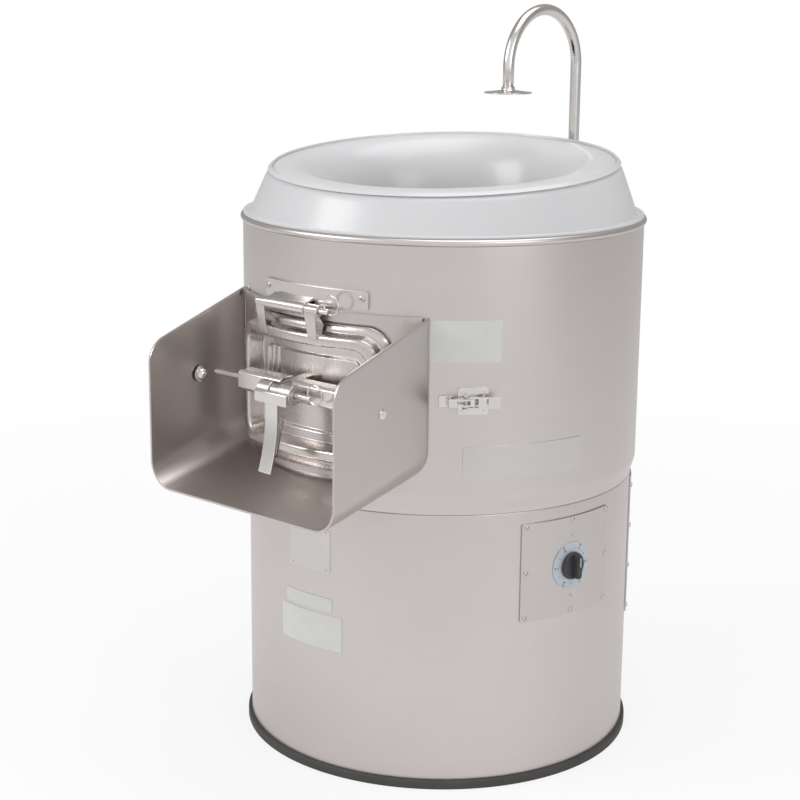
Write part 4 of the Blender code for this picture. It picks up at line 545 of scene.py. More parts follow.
points[:, 2] += COLLAR_TILT * (points[:, 0] * math.sin(lean) - points[:, 1] * math.cos(lean)) * share
collar.vertices.foreach_set("co", points.ravel())
collar.update()
moulding = Finish("collar_plastic", (0.62, 0.62, 0.635), 0.30)
cloud = moulding.noise(moulding.place(), 5.0)
moulding.set("Base Color", moulding.mix(cloud, (0.60, 0.60, 0.615), (0.66, 0.66, 0.67)))
moulding.set("Roughness", 0.24 + cloud * 0.14)
moulding.bump(moulding.noise(moulding.place(), 220.0), 0.05, 0.0003)
moulding.set("Coat Weight", 0.3)
moulding.set("Coat Roughness", 0.15)
piece("feed_collar_moulding", smooth(collar), moulding.material, "collar", "collar_plastic", "feed_collar")


# Discharge chute
# One bent stainless sheet: a floor that falls away from the drum and two side walls, welded to the
# shell. The walls' top edges slope outwards and their front corners are rounded.

low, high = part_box("chute")
chute_half = high.x
chute_front = low.y
chute_root = drum_radius + FIT
CHUTE_SHEET = 0.003
CHUTE_FLOOR = 0.3985
CHUTE_RISE = 0.217
CHUTE_TOP = 0.646
CHUTE_FALL = 0.328
CHUTE_BEND = 0.034
CHUTE_NOSE = 0.036


def chute_sheet(name):
    """The chute's outer surface on a grid: round the U from left to right, and from front to drum.

    x and the bend follow a rounded U; y runs from the front edge to the drum's own circle at that x;
    z is the sloping floor plus the bend, and up the walls a share of the way to the sloping top edge,
    which turns down in a round nose at the front.
    """
    wall_share = np.linspace(1.0, 0.0, 40)
    a = np.radians(np.linspace(180.0, 270.0, 14))
    bend_x = -chute_half + CHUTE_BEND + CHUTE_BEND * np.cos(a)
    bend_z = CHUTE_BEND + CHUTE_BEND * np.sin(a)
    floor_x = np.linspace(bend_x[-1], 0.0, 16)[1:]
    x = np.concatenate([np.full(len(wall_share) - 1, -chute_half), bend_x, floor_x])
    lift = np.concatenate([np.full(len(wall_share) - 1, CHUTE_BEND), bend_z, np.zeros(len(floor_x))])
    share = np.concatenate([wall_share[:-1], np.zeros(len(bend_x) + len(floor_x))])
    x = np.concatenate([x, -x[-2::-1]])[:, None]
    lift = np.concatenate([lift, lift[-2::-1]])[:, None]
    share = np.concatenate([share, share[-2::-1]])[:, None]
    v = (1.0 - np.cos(np.linspace(0.0, np.pi / 2, 48)))[None, :]
    root = -np.sqrt(chute_root ** 2 - x ** 2)
    y = chute_front + v * (root - chute_front)
    floor_z = CHUTE_FLOOR + CHUTE_RISE * (y - chute_front)
    wall_y = -math.sqrt(drum_radius ** 2 - chute_half ** 2)
    top = CHUTE_TOP + CHUTE_FALL * (y - wall_y)
    slant = math.sqrt(1.0 + CHUTE_FALL ** 2)
    centre_y = chute_front + CHUTE_NOSE
    centre_z = CHUTE_TOP + CHUTE_FALL * (chute_front - wall_y) + CHUTE_FALL * CHUTE_NOSE - CHUTE_NOSE * slant
    tangent_y = centre_y - CHUTE_NOSE * CHUTE_FALL / slant
    nose = centre_z + np.sqrt(np.clip(CHUTE_NOSE ** 2 - (y - centre_y) ** 2, 0.0, None))
    top = np.where(y < tangent_y, nose, top)
    z = floor_z + lift + share * (top - floor_z - lift)
    grid = np.stack([np.broadcast_to(x, z.shape), y, z], axis=-1)
    return smooth(skin(name, grid))


chute = chute_sheet("chute_sheet")
chute_steel = sheet_finish("chute_steel", (0.585, 0.545, 0.525), 0.32, (260.0, 8.0, 8.0), 7.0)
chute_piece = piece("chute_sheet", chute, chute_steel, "body", "steel", "chute")
wall_step = chute_piece.modifiers.new("sheet", "SOLIDIFY")
wall_step.thickness = CHUTE_SHEET
wall_step.offset = -1.0
wall_step.use_even_offset = True
edge_step = chute_piece.modifiers.new("edges", "BEVEL")
edge_step.width = 0.0007
edge_step.segments = 2
edge_step.limit_method = "ANGLE"


# Door pressing
# The door is pressed from thin sheet: a flat flange, a high rounded bead all round and a recess in
# steps, bent to the drum's curve. Two strap hinges hang it from the bracket.

DOOR_CORNER = 0.034
DOOR_SHEET = 0.002
GASKET = 0.0027
flange_middle = drum_radius + FIT * 3 + GASKET + DOOR_SHEET / 2
DOOR_RECESS = 0.0075
DOOR_STEP = 0.0040
DOOR_BEAD = 0.0130
panel_middle = drum_radius - DOOR_RECESS - DOOR_STEP + DOOR_SHEET
bead_top = flange_middle + DOOR_BEAD


def bent(along, height, radius):
    """Flat (along, height) points laid round the drum: angle = along / drum radius, at any radius."""
    a = along / drum_radius
    return np.stack([radius * np.sin(a), -radius * np.cos(a), height], axis=-1)


def door_loops(insets, shares, radii, corner_steps=10, side_steps=14):
    """Round-cornered loops, one for each inset from the door's edge, at each radius from the drum axis."""
    rows = []
    for inset, share, radius in zip(insets, shares, radii):
        half = (door_half - inset) * share
        rise = ((door_top - door_bottom) / 2 - inset) * share
        corner = max(DOOR_CORNER - inset * DOOR_CORNER / (door_half / 2), DOOR_CORNER / 4) * share
        loop = []
        corners = ((1, -1, -90.0), (1, 1, 0.0), (-1, 1, 90.0), (-1, -1, 180.0))
        for i, (side, end, start) in enumerate(corners):
            a = np.radians(np.linspace(start, start + 90.0, corner_steps + 1))
            centre = np.array([side * (half - corner), end * (rise - corner)])
            round_part = centre + corner * np.stack([np.cos(a), np.sin(a)], axis=1)
            side2, end2, start2 = corners[(i + 1) % 4]
            b = math.radians(start2)
            after = np.array([side2 * (half - corner) + corner * math.cos(b),
                              end2 * (rise - corner) + corner * math.sin(b)])
            t = np.linspace(0.0, 1.0, side_steps + 1)[1:-1, None]
            loop += [round_part, round_part[-1] + (after - round_part[-1]) * t]
        loop = np.concatenate(loop)
        rows.append(bent(loop[:, 0], loop[:, 1] + door_middle, radius))
    return np.stack(rows)


press = rounded([(0.0, flange_middle), (0.0120, flange_middle), (0.0165, bead_top), (0.0285, bead_top),
                 (0.0330, panel_middle + 0.0040), (0.0450, panel_middle + 0.0040), (0.0490, panel_middle),
                 (0.0640, panel_middle)],
                [0.0, 0.0020, 0.0035, 0.0035, 0.0030, 0.0018, 0.0018, 0.0], 5, closed=False)
inner_shares = np.linspace(1.0, 0.04, 14)[1:]
insets = np.concatenate([press[:, 0], np.full(len(inner_shares), press[-1, 0])])
shares = np.concatenate([np.ones(len(press)), inner_shares])
radii = np.concatenate([press[:, 1], np.full(len(inner_shares), press[-1, 1])])
grid = door_loops(insets, shares, radii)
mesh = skin("door_pressing", grid, wrap_columns=True)
last_ring = tuple(range(len(mesh.vertices) - grid.shape[1], len(mesh.vertices)))
closed = with_faces("door_pressing", mesh, [last_ring])
door_steel = sheet_finish("door_steel", (0.62, 0.58, 0.555), 0.26, (220.0, 5.0, 5.0), 9.0)
door_piece = piece("door_pressing", smooth(tidy_normals(closed), 50.0), door_steel, "door", "steel")
wall_step = door_piece.modifiers.new("sheet", "SOLIDIFY")
wall_step.thickness = DOOR_SHEET
wall_step.offset = 0.0


# Door hangers and latch lug
# Two folded straps run down from the knuckles and are welded to the door's top bead. A thick lug is
# welded to the panel's middle and carries the latch pin.

def prism(name, outline, start, end):
    """A closed (y, z) outline carried straight along X from start to end, with both ends closed."""
    outline = np.asarray(outline, float)
    count = len(outline)
    points = np.concatenate([np.column_stack([np.full(count, x), outline]) for x in (start, end)])
    side = [(i, (i + 1) % count, count + (i + 1) % count, count + i) for i in range(count)]
    mesh = bpy.data.meshes.new(name)
    mesh.from_pydata(points.tolist(), [], side + two_caps(count))
    return tidy_normals(mesh)


def merged(name, meshes):
    """Several meshes as one."""
    points = []
    faces = []
    for part in meshes:
        base = len(points)
        points += [v.co[:] for v in part.vertices]
        faces += [[base + i for i in p.vertices] for p in part.polygons]
    mesh = bpy.data.meshes.new(name)
    mesh.from_pydata(points, [], faces)
    return smooth(mesh)


def arc_points(y, z, radius, start, end, steps=16):
    """Points round a circle in the Y-Z plane; 0 degrees is +Y and 90 degrees is +Z."""
    a = np.radians(np.linspace(start, end, steps + 1))
    return np.stack([y + radius * np.cos(a), z + radius * np.sin(a)], axis=1)


def turned_along(name, profile, start, heading, segments=40):
    """A (radius, distance) outline turned about a line: start, and the way it points."""
    profile = np.asarray(profile, float)
    a = np.linspace(0.0, 2 * np.pi, segments, endpoint=False)
    radius = profile[:, 0][:, None]
    grid = np.stack([radius * np.cos(a), radius * np.sin(a),
                     np.repeat(profile[:, 1][:, None], segments, axis=1)], axis=-1)
    mesh = skin(name, grid, wrap_rows=True, wrap_columns=True)
    turn = Vector(heading).to_track_quat("Z", "Y").to_matrix().to_4x4()
    mesh.transform(Matrix.Translation(Vector(start)) @ turn)
    return smooth(mesh)


def soften(made, width, segments=3, angle=30.0):
    """Round the edges of a piece by a bevel."""
    step = made.modifiers.new("edges", "BEVEL")
    step.width = width
    step.segments = segments
    step.limit_method = "ANGLE"
    step.angle_limit = math.radians(angle)
    step.harden_normals = False
    return made


HINGE_AT = (-0.295, 0.648)
LATCH_AT = (-0.325, 0.540)
KNUCKLE = 0.0075
PIN = 0.0040
flange_face = flange_middle + DOOR_SHEET / 2
KNUCKLE_SPANS = ((-0.067, -0.0493), (0.0213, 0.044))
STRAP_SPANS = ((-0.066, -0.050), (0.022, 0.043))
STRAP_FADE = 0.018


def sleeve_outline(outer, length, cut):
    """Half the outline of a sleeve round a pin, as (radius, distance), its outer edges chamfered."""
    return [(PIN + FIT, 0.0), (outer - cut, 0.0), (outer, cut), (outer, length - cut), (outer - cut, length),
            (PIN + FIT, length)]


hangers = [turned_along("knuckle", sleeve_outline(KNUCKLE, right - left, EDGE_CUT), (left, *HINGE_AT),
                        (1.0, 0.0, 0.0)) for left, right in KNUCKLE_SPANS]
bright_steel = sheet_finish("bright_steel", (0.70, 0.665, 0.645), 0.20, (40.0, 40.0, 40.0), 12.0)
piece("door_knuckles", merged("door_knuckles", hangers), bright_steel, "door", "steel", "door")
straps = []
for left, right in STRAP_SPANS:
    top_y, top_z = HINGE_AT
    strap = [(top_y - KNUCKLE + 0.0004, top_z + 0.0010), (top_y - KNUCKLE - 0.0002, top_z - 0.0040),
             (-bead_top - 0.0012, door_top - 0.0160), (-bead_top + 0.0030, door_top - 0.0260),
             (-bead_top + 0.0085, door_top - 0.0200), (-flange_face - 0.0004, door_top - 0.0020),
             (top_y + 0.0006, top_z - KNUCKLE + 0.0004)]
    inset = (right - left) * 0.22
    body = prism("strap", strap, left, right)
    points = np.array([v.co[:] for v in body.vertices])
    fade = np.clip((door_top - 0.0040 - points[:, 2]) / STRAP_FADE, 0.0, 1.0)
    middle = (left + right) / 2
    points[:, 0] = middle + (points[:, 0] - middle) * (1.0 - fade * (1.0 - 2 * inset / (right - left)) * 0.55)
    body.vertices.foreach_set("co", points.ravel())
    straps.append(body)
strap_piece = piece("door_straps", merged("door_straps", straps), door_steel, "door", "steel", "door")
soften(strap_piece, 0.0010)

LUG_HALF = 0.0080
LUG_RADIUS = 0.0110
LUG_SPREAD = 0.0150
latch_y, latch_z = LATCH_AT
nose = arc_points(latch_y, latch_z, LUG_RADIUS, 105.0, 255.0, 18)
root = -panel_middle
foot = [(root - 0.0010, latch_z - LUG_SPREAD), (root + 0.0005, latch_z - LUG_SPREAD),
        (root + 0.0005, latch_z + LUG_SPREAD), (root - 0.0010, latch_z + LUG_SPREAD)]
outline = np.concatenate([nose, foot])
bore = prism("lug_bore", arc_points(latch_y, latch_z, PIN + FIT, 0.0, 345.0, 23), -LUG_HALF * 2, LUG_HALF * 2)
lug = apply_boolean(prism("latch_lug", outline, -LUG_HALF, LUG_HALF), [bore])
soften(piece("door_latch_lug", lug, door_steel, "door", "steel", "door"), 0.0008)

RIB_RISE = 0.0030
RIB_SINK = 0.0004
RIB_PLACES = ((-0.0830, -0.0730, 0.485, 0.590), (-0.0700, -0.0600, 0.485, 0.590))


def pressed_rib(name, along_from, along_to, low, high, rise):
    """A long soft rib standing out of the recessed panel.

    Over shares u and v from -1 to 1: height out = rise (1 - |u|^3)(1 - |v|^8), laid round the drum.
    """
    u, v = np.meshgrid(np.linspace(-1, 1, 25), np.linspace(-1, 1, 45), indexing="ij")
    along = (along_from + along_to) / 2 + u * (along_to - along_from) / 2
    height = (low + high) / 2 + v * (high - low) / 2
    out = rise * (1 - np.abs(u) ** 3) * (1 - np.abs(v) ** 8) - RIB_SINK
    return skin(name, bent(along, height, panel_middle + DOOR_SHEET / 2 + out))


def closed_back(mesh):
    """Turn an open sheet's faces away from the drum axis."""
    work = bmesh.new()
    work.from_mesh(mesh)
    bmesh.ops.recalc_face_normals(work, faces=work.faces)
    faces = list(work.faces)
    middle = faces[len(faces) // 2]
    outward = Vector((middle.calc_center_median().x, middle.calc_center_median().y, 0.0))
    if middle.normal.dot(outward) < 0:
        bmesh.ops.reverse_faces(work, faces=work.faces)
    work.to_mesh(mesh)
    work.free()
    return mesh


ribs = [closed_back(pressed_rib("rib", *place, RIB_RISE)) for place in RIB_PLACES]
piece("door_ribs", merged("door_ribs", ribs), door_steel, "door", "steel", "door")


# Door gasket and header
# A black rubber strip lies between the door's flange and the drum. Above the door a narrow bent steel
# header is welded to the drum and keeps splashes in.

def dress(node, finish):
    """Give a CAD node that stays its finish."""
    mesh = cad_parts[node].data
    mesh.materials.clear()
    mesh.materials.append(finish)


dress("door_gasket", rubber_finish("gasket_rubber", (0.030, 0.029, 0.028)))
dress("door_header", sheet_finish("header_steel", (0.60, 0.565, 0.545), 0.30, (200.0, 8.0, 8.0), 8.0))


# Hinge bracket
# A thin curved plate is bolted to the drum over the door. Its lower edge is rolled into a barrel for the
# hinge pin, and a short web joins the two.

BRACKET_PLATE = 0.003
BRACKET_LEFT = -0.075
BRACKET_RIGHT = 0.100
BRACKET_LOW = 0.652
BRACKET_HIGH = 0.676
BRACKET_CORNER = 0.004
BARREL = 0.0090
BARREL_LEFT = -0.049
BARREL_RIGHT = 0.021
BARREL_CUT = 0.0005


def curved_plate(name, angle, half, low, high, corner, inner, outer, steps=64):
    """A plate that follows the drum: a rounded rectangle of half-width (chord) and height limits.

    Each outline row runs round the drum at two radii; the face between is filled in columns.
    """
    reach = math.asin(half / inner)
    span = np.linspace(-1.0, 1.0, steps)
    span = np.sign(span) * (1 - (1 - np.abs(span)) ** 1.6)
    along = span * reach * inner
    edge = np.clip(reach * inner - np.abs(along), 0.0, None)
    cutback = corner - np.sqrt(np.clip(corner ** 2 - np.clip(corner - edge, 0.0, corner) ** 2, 0.0, None))
    turn = math.radians(angle)
    a = turn + along / inner
    rows = []
    upper, lower = high - cutback, low + cutback
    for radius, heights in ((outer, upper), (outer, lower), (inner, lower), (inner, upper)):
        rows.append(np.stack([radius * np.sin(a), -radius * np.cos(a), heights], axis=-1))
    grid = np.stack(rows)
    mesh = skin(name, grid, wrap_rows=True)
    ends = [tuple(r * steps for r in range(4)), tuple(r * steps + steps - 1 for r in (3, 2, 1, 0))]
    return tidy_normals(with_faces(name, mesh, ends))


bracket_middle = (BRACKET_LEFT + BRACKET_RIGHT) / 2
bracket_half = (BRACKET_RIGHT - BRACKET_LEFT) / 2
plate_inner = drum_radius + FIT
plate_outer = plate_inner + BRACKET_PLATE
bracket_angle = math.degrees(math.asin(bracket_middle / drum_radius))
plate = curved_plate("bracket_plate", bracket_angle, bracket_half, BRACKET_LOW, BRACKET_HIGH,
                     BRACKET_CORNER, plate_inner, plate_outer)
bracket_plate = piece("bracket_plate", smooth(plate), bright_steel, "body", "steel", "hinge_bracket")
soften(bracket_plate, 0.0007)
hinge_y, hinge_z = HINGE_AT
barrel = turned_along("hinge_barrel", sleeve_outline(BARREL, BARREL_RIGHT - BARREL_LEFT, BARREL_CUT),
                      (BARREL_LEFT, hinge_y, hinge_z), (1.0, 0.0, 0.0), 56)
piece("hinge_barrel", barrel, bright_steel, "body", "steel", "hinge_bracket")
web = [(hinge_y - 0.0010, hinge_z + BARREL - 0.0002), (hinge_y - 0.0002, hinge_z + BARREL - BRACKET_PLATE),
       (-plate_outer + 0.0012, BRACKET_LOW + 0.0052), (-plate_outer + 0.0012, BRACKET_LOW + 0.0092)]
web_mesh = prism("bracket_web", web, BARREL_LEFT + 0.0004, BARREL_RIGHT - 0.0004)
soften(piece("bracket_web", smooth(web_mesh), bright_steel, "body", "steel", "hinge_bracket"), 0.0007)


# Screws of the sheet metal
# Small stainless pan-head screws with a cross recess hold the panels and the brackets. Their heads are
# turned and the recess is pressed in.

SCREW_RADIUS = 0.0042
SCREW_HEIGHT = 0.0024


def screw_head(name, matrix, radius=SCREW_RADIUS, height=SCREW_HEIGHT, recess=1.0):
    """A domed head with a cross recess, on a polar grid.

    Height over share s of the radius = height (1 - s^4)^0.5; a cross with arms 0.26 radius wide that
    reach 0.52 radius goes down by 0.55 of the height.
    """
    s = np.concatenate([np.linspace(0.0, 0.96, 22), [0.985, 1.0, 1.0]])[:, None]
    a = np.linspace(0.0, 2 * np.pi, 48, endpoint=False)[None, :]
    rise = height * np.sqrt(np.clip(1 - s ** 4, 0.0, 1.0)) + np.zeros_like(a)
    rise[-1] = -0.0006
    x = radius * s * np.cos(a)
    y = radius * s * np.sin(a)
    arm = 0.13 * radius
    reach = 0.52 * radius
    near = np.minimum(np.abs(x), np.abs(y)) - arm
    far = np.maximum(np.abs(x), np.abs(y)) - reach
    depth = np.clip(-near / (0.10 * radius), 0.0, 1.0) * np.clip(-far / (0.10 * radius), 0.0, 1.0)
    rise = rise - depth * height * 0.55 * recess
    mesh = skin(name, np.stack([x, y, rise], axis=-1), wrap_columns=True)
    mesh.transform(matrix)
    return closed_back(mesh)


def screws(name, places, body="body", slot="steel", radius=SCREW_RADIUS, height=SCREW_HEIGHT):
    """Screw heads at (angle, radius, height) places on the drum, each turned its own way, as one piece."""
    heads = []
    for i, (angle, distance, level) in enumerate(places):
        spin = Matrix.Rotation(math.radians(37.0 * i + 11.0), 4, "Z")
        heads.append(screw_head("screw", facing(angle, distance, level) @ spin, radius, height))
    return piece(name, merged(name, heads), screw_steel, body, slot)


screw_steel = sheet_finish("screw_steel", (0.60, 0.57, 0.55), 0.24, (60.0, 60.0, 60.0), 60.0)
screws("bracket_screws", [(-14.2, plate_outer, 0.6665), (19.0, plate_outer, 0.6665)])
screws("drum_screws", [(-29.8, drum_radius, 0.651)], radius=0.0036)
screws("flange_screws", [(-5.5, flange_face, 0.4400), (9.0, flange_face, 0.4400)], "door", "steel",
       radius=0.0022, height=0.0011)


# Hinge pin and latch pin
# Two round stainless pins with chamfered ends. Each has a cross hole near its right end that carries a
# loose wire ring to pull it out by.

def ring_of_wire(name, centre, reach, side, radius, wire, segments=72, sides=14):
    """A torus: point = centre + (R + r cos b)(reach cos a + side sin a) + r sin b normal."""
    a = np.linspace(0.0, 2 * np.pi, segments, endpoint=False)[:, None, None]
    b = np.linspace(0.0, 2 * np.pi, sides, endpoint=False)[None, :, None]
    reach, side = np.asarray(reach, float), np.asarray(side, float)
    normal = np.cross(reach, side)
    spoke = reach * np.cos(a) + side * np.sin(a)
    grid = np.asarray(centre, float) + spoke * (radius + wire * np.cos(b)) + normal * (wire * np.sin(b))
    return smooth(skin(name, grid, wrap_rows=True, wrap_columns=True))


PULL_RING = 0.0125
PULL_WIRE = 0.0012
PIN_CUT = 0.0008                # chamfer at the ends of a pin
HOLE_SHARE = 0.55               # the ring's hole in a pin, as a share of the pin


def pin_outline(radius, length, cut, cut_along):
    """Half the outline of a pin, as (radius, distance), with both ends chamfered."""
    return [(0.0, 0.0), (radius - cut, 0.0), (radius, cut_along), (radius, length - cut_along),
            (radius - cut, length), (0.0, length)]


pin_steel = sheet_finish("pin_steel", (0.74, 0.71, 0.69), 0.16, (500.0, 20.0, 20.0), 30.0)
for name, body, place, left, right, lean in (("hinge_pin", "hinge_pin", HINGE_AT, -0.071, 0.060, 50.0),
                                             ("latch_pin", "latch_pin", LATCH_AT, -0.036, 0.057, 28.0)):
    y, z = place
    length = right - left
    profile = pin_outline(PIN, length, PIN_CUT, PIN_CUT)
    stem = turned_along(name + "_stem", profile, (left, y, z), (1.0, 0.0, 0.0), 36)
    turn = math.radians(lean)
    reach = np.array([math.cos(turn), 0.0, math.sin(turn)])
    side = np.array([-math.sin(turn), 0.0, math.cos(turn)])
    hole_at = np.array([right - PIN, y, z])
    hole = PIN * HOLE_SHARE
    drill = turned_along("drill", [(0.0, -0.02), (hole, -0.02), (hole, 0.02), (0.0, 0.02)], hole_at, side, 20)
    stem = apply_boolean(tidy_normals(stem), [tidy_normals(drill)])
    piece(name + "_stem", stem, pin_steel, body, "bright", name)
    ring = ring_of_wire(name + "_loop", hole_at + reach * PULL_RING, reach, side, PULL_RING, PULL_WIRE)
    piece(name + "_loop", ring, pin_steel, body, "bright", name + "_ring")


# Latch handle
# A cast stainless handle swings on the latch pin. Two square bars run out to the rods, two round ears
# hold the lug between them, and a bent grip with side cheeks hangs down to be pulled.

EAR_RADIUS = 0.0135
EAR_OUTER = 0.030
GRIP_HALF = 0.0115
GRIP_SHEET = 0.004
GRIP_LOW = 0.437
GRIP_LEAN = 0.15                # how far the grip leans and bends out, in sheets
GRIP_BEND = 3.35
BEND_FROM = 0.25
BAR_INNER = 0.010
BAR_OUTER = 0.0895
BAR_SIDE = 0.028
BAR_CUT = 0.004
BAR_AT = (-0.300, 0.5405)
ROD_LINE = (-0.297, 0.540)
ROD = 0.0040
ROD_CUT = 0.0010

latch_front = latch_y - EAR_RADIUS
handle_steel = sheet_finish("handle_steel", (0.72, 0.69, 0.665), 0.24, (30.0, 30.0, 30.0), 16.0)
ear_inner = LUG_HALF + FIT * 2
bore_line = arc_points(latch_y, latch_z, PIN + FIT, 0.0, 345.0, 23)
pin_bore = prism("pin_bore", bore_line, -EAR_OUTER * 2, EAR_OUTER * 2)
ears = []
for start, end in ((-EAR_OUTER, -ear_inner), (ear_inner, EAR_OUTER)):
    ear = prism("ear", arc_points(latch_y, latch_z, EAR_RADIUS, 0.0, 352.5, 47), start, end)
    ears.append(apply_boolean(ear, [pin_bore]))
ear_piece = piece("latch_ears", merged("latch_ears", ears), handle_steel, "latch", "bright", "latch_handle")
soften(ear_piece, 0.0010)
bridge = [(latch_front + 0.0010, latch_z - EAR_RADIUS), (latch_front + 0.0010, latch_z + EAR_RADIUS / 4),
          (latch_front - 0.0015, latch_z + EAR_RADIUS / 4), (latch_front - GRIP_SHEET, latch_z + 0.0010),
          (latch_front - GRIP_SHEET, latch_z - EAR_RADIUS)]
bridge_mesh = prism("latch_bridge", bridge, -EAR_OUTER + 0.0005, EAR_OUTER - 0.0005)
soften(piece("latch_bridge", smooth(bridge_mesh), handle_steel, "latch", "bright", "latch_handle"), 0.0012)
bar_y, bar_z = BAR_AT
rod_y, rod_z = ROD_LINE
half = BAR_SIDE / 2
square = [(bar_y - half + BAR_CUT, bar_z + half), (bar_y + half - BAR_CUT, bar_z + half),
          (bar_y + half, bar_z + half - BAR_CUT), (bar_y + half, bar_z - half + BAR_CUT),
          (bar_y + half - BAR_CUT, bar_z - half), (bar_y - half + BAR_CUT, bar_z - half),
          (bar_y - half, bar_z - half + BAR_CUT), (bar_y - half, bar_z + half - BAR_CUT)]
bars = []
for start, end in ((-BAR_OUTER, -BAR_INNER), (BAR_INNER, BAR_OUTER)):
    bars.append(apply_boolean(prism("bar", square, start, end), [pin_bore]))
bar_piece = piece("latch_bars", merged("latch_bars", bars), handle_steel, "latch", "bright", "latch_handle")
soften(bar_piece, 0.0012)

drop = latch_z - GRIP_LOW
t = np.linspace(0.0, 1.0, 29)
bent_out = GRIP_BEND * np.clip(t - BEND_FROM, 0.0, None) ** 2 / (1.0 - BEND_FROM) ** 2
front_y = latch_front - GRIP_SHEET / 2 - GRIP_SHEET * (GRIP_LEAN * t + bent_out)
front_z = latch_z - drop * t
front_line = np.stack([front_y, front_z], axis=1)
slope = np.gradient(front_line, axis=0)
slope /= np.linalg.norm(slope, axis=1)[:, None]
back_line = front_line + np.stack([-slope[:, 1], slope[:, 0]], axis=1) * GRIP_SHEET
grip = prism("latch_grip", np.concatenate([front_line, back_line[::-1]]), -GRIP_HALF, GRIP_HALF)
grip_piece = piece("latch_grip", smooth(grip), handle_steel, "latch", "bright", "latch_handle")
soften(grip_piece, 0.0013)
cheek_inner = LUG_HALF + FIT * 2
cheek = rounded([(latch_front - 0.0005, latch_z), (latch_front - GRIP_SHEET, latch_z - drop * 0.80),
                 (latch_front - 0.0005, latch_z - drop * 0.70),
                 (latch_front + EAR_RADIUS, latch_z - drop * 0.30),
                 (latch_front + EAR_RADIUS, latch_z - EAR_RADIUS * 0.5)], [0.0, 0.0, 0.012, 0.010, 0.0], 8)
cheeks = [prism("cheek", cheek, start, end)
          for start, end in ((-GRIP_HALF, -cheek_inner), (cheek_inner, GRIP_HALF))]
cheek_piece = piece("latch_cheeks", merged("latch_cheeks", cheeks), handle_steel, "latch", "bright",
                    "latch_handle")
soften(cheek_piece, 0.0010)
for node, side in (("latch_rod_left", -1), ("latch_rod_right", 1)):
    low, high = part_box(node)
    length = high.x - low.x
    profile = pin_outline(ROD, length, PIN_CUT, ROD_CUT)
    stem = turned_along(node, profile, (low.x, rod_y, rod_z), (1.0, 0.0, 0.0), 36)
    piece(node + "_stem", stem, pin_steel, "latch", "bright", node)


# Strike bolts
# A stainless bolt stands through each chute wall with its hexagon head outside. A domed nut over a
# washer closes it inside.

STRIKE_AT = (-0.313, 0.537)
wall_outer = chute_half
wall_inner = chute_half - CHUTE_SHEET
HEX = 0.0075
HEX_TALL = 0.0050
DOME = 0.0085
DOME_TALL = 0.0080
DOME_FOOT = 0.0015
WASHER = 0.0110
BOLT = 0.0042
strike_y, strike_z = STRIKE_AT
for name, side in (("left", -1), ("right", 1)):
    seat = side * (wall_inner - FIT)
    dome_a = np.radians(np.linspace(90.0, 0.0, 14))
    dome = np.stack([DOME * np.cos(dome_a), DOME_FOOT + DOME_TALL * np.sin(dome_a)], axis=1)
    washer = [(DOME, DOME_FOOT), (0.0108, 0.0013), (WASHER, 0.0010), (WASHER, 0.0), (BOLT, 0.0),
              (BOLT, 0.0040), (0.0, 0.0060)]
    profile = np.concatenate([dome, washer])
    nut = turned_along("nut", profile, (seat, strike_y, strike_z), (-side, 0.0, 0.0), 48)
    piece("strike_dome_" + name, tidy_normals(nut), pin_steel, "body", "bright", "strike_nut_" + name)
    a = np.linspace(0.0, 2 * np.pi, 48, endpoint=False)[None, :]
    flat_radius = HEX * math.cos(math.pi / 6)
    six = flat_radius / np.cos((a + np.pi / 6) % (np.pi / 3) - np.pi / 6)
    ring_share = np.array([0.0, 0.60, 0.80, 0.90, 1.0, 1.0, 1.0])[:, None]
    tall = np.array([1.0, 1.0, 1.0, 0.96, 0.80, 0.02, 0.0])[:, None]
    radius = np.where(ring_share < 0.95, ring_share * flat_radius, six * ring_share)
    grid = np.stack([radius * np.cos(a), radius * np.sin(a), tall * HEX_TALL + 0 * a], axis=-1)
    head = skin("hex_head", grid, wrap_columns=True)
    turn = Vector((side, 0.0, 0.0)).to_track_quat("Z", "Y").to_matrix().to_4x4()
    head.transform(Matrix.Translation((side * (wall_outer + FIT), strike_y, strike_z)) @ turn)
    piece("strike_head_" + name, smooth(tidy_normals(head)), pin_steel, "body", "bright",
          "strike_bolt_" + name)
screws("chute_wall_screw", [(-51.5, drum_radius, 0.626)], radius=0.0032)


# Toggle latch
# A bright spring-type draw latch is riveted to the drum's side. A base plate with two ears carries the
# lever, a channel bent from sheet, and the hook that the lever draws over the keeper.

TOGGLE_LEVEL = 0.5385
PLATE = 0.0020
LEVER_WIDE = 0.0145
CROSS_PIN = 0.0014
TOGGLE_HALF = 0.020
TOGGLE_RISE = 0.018
LEVER_GRIP = 0.013
EAR = 0.0045
HOOK_REACH = 0.012
RIVET_ALONG = 0.015
RIVET_UP = 0.0135
KEEPER_BACK = 0.02              # half-height of the tool that fits the keeper to the drum
toggle_angle = 48.5
toggle_place = facing(toggle_angle, drum_radius, TOGGLE_LEVEL)
toggle_steel = sheet_finish("toggle_steel", (0.74, 0.72, 0.70), 0.17, (50.0, 50.0, 50.0), 40.0)


def across_latch(name, outline, width, middle=0.0):
    """An (along, out) outline carried across the latch, upright on the drum."""
    mesh = prism(name, outline, middle - width / 2, middle + width / 2)
    points = np.array([v.co[:] for v in mesh.vertices])
    mesh.vertices.foreach_set("co", points[:, [1, 0, 2]].ravel())
    mesh.update()
    mesh.transform(toggle_place)
    return tidy_normals(mesh)


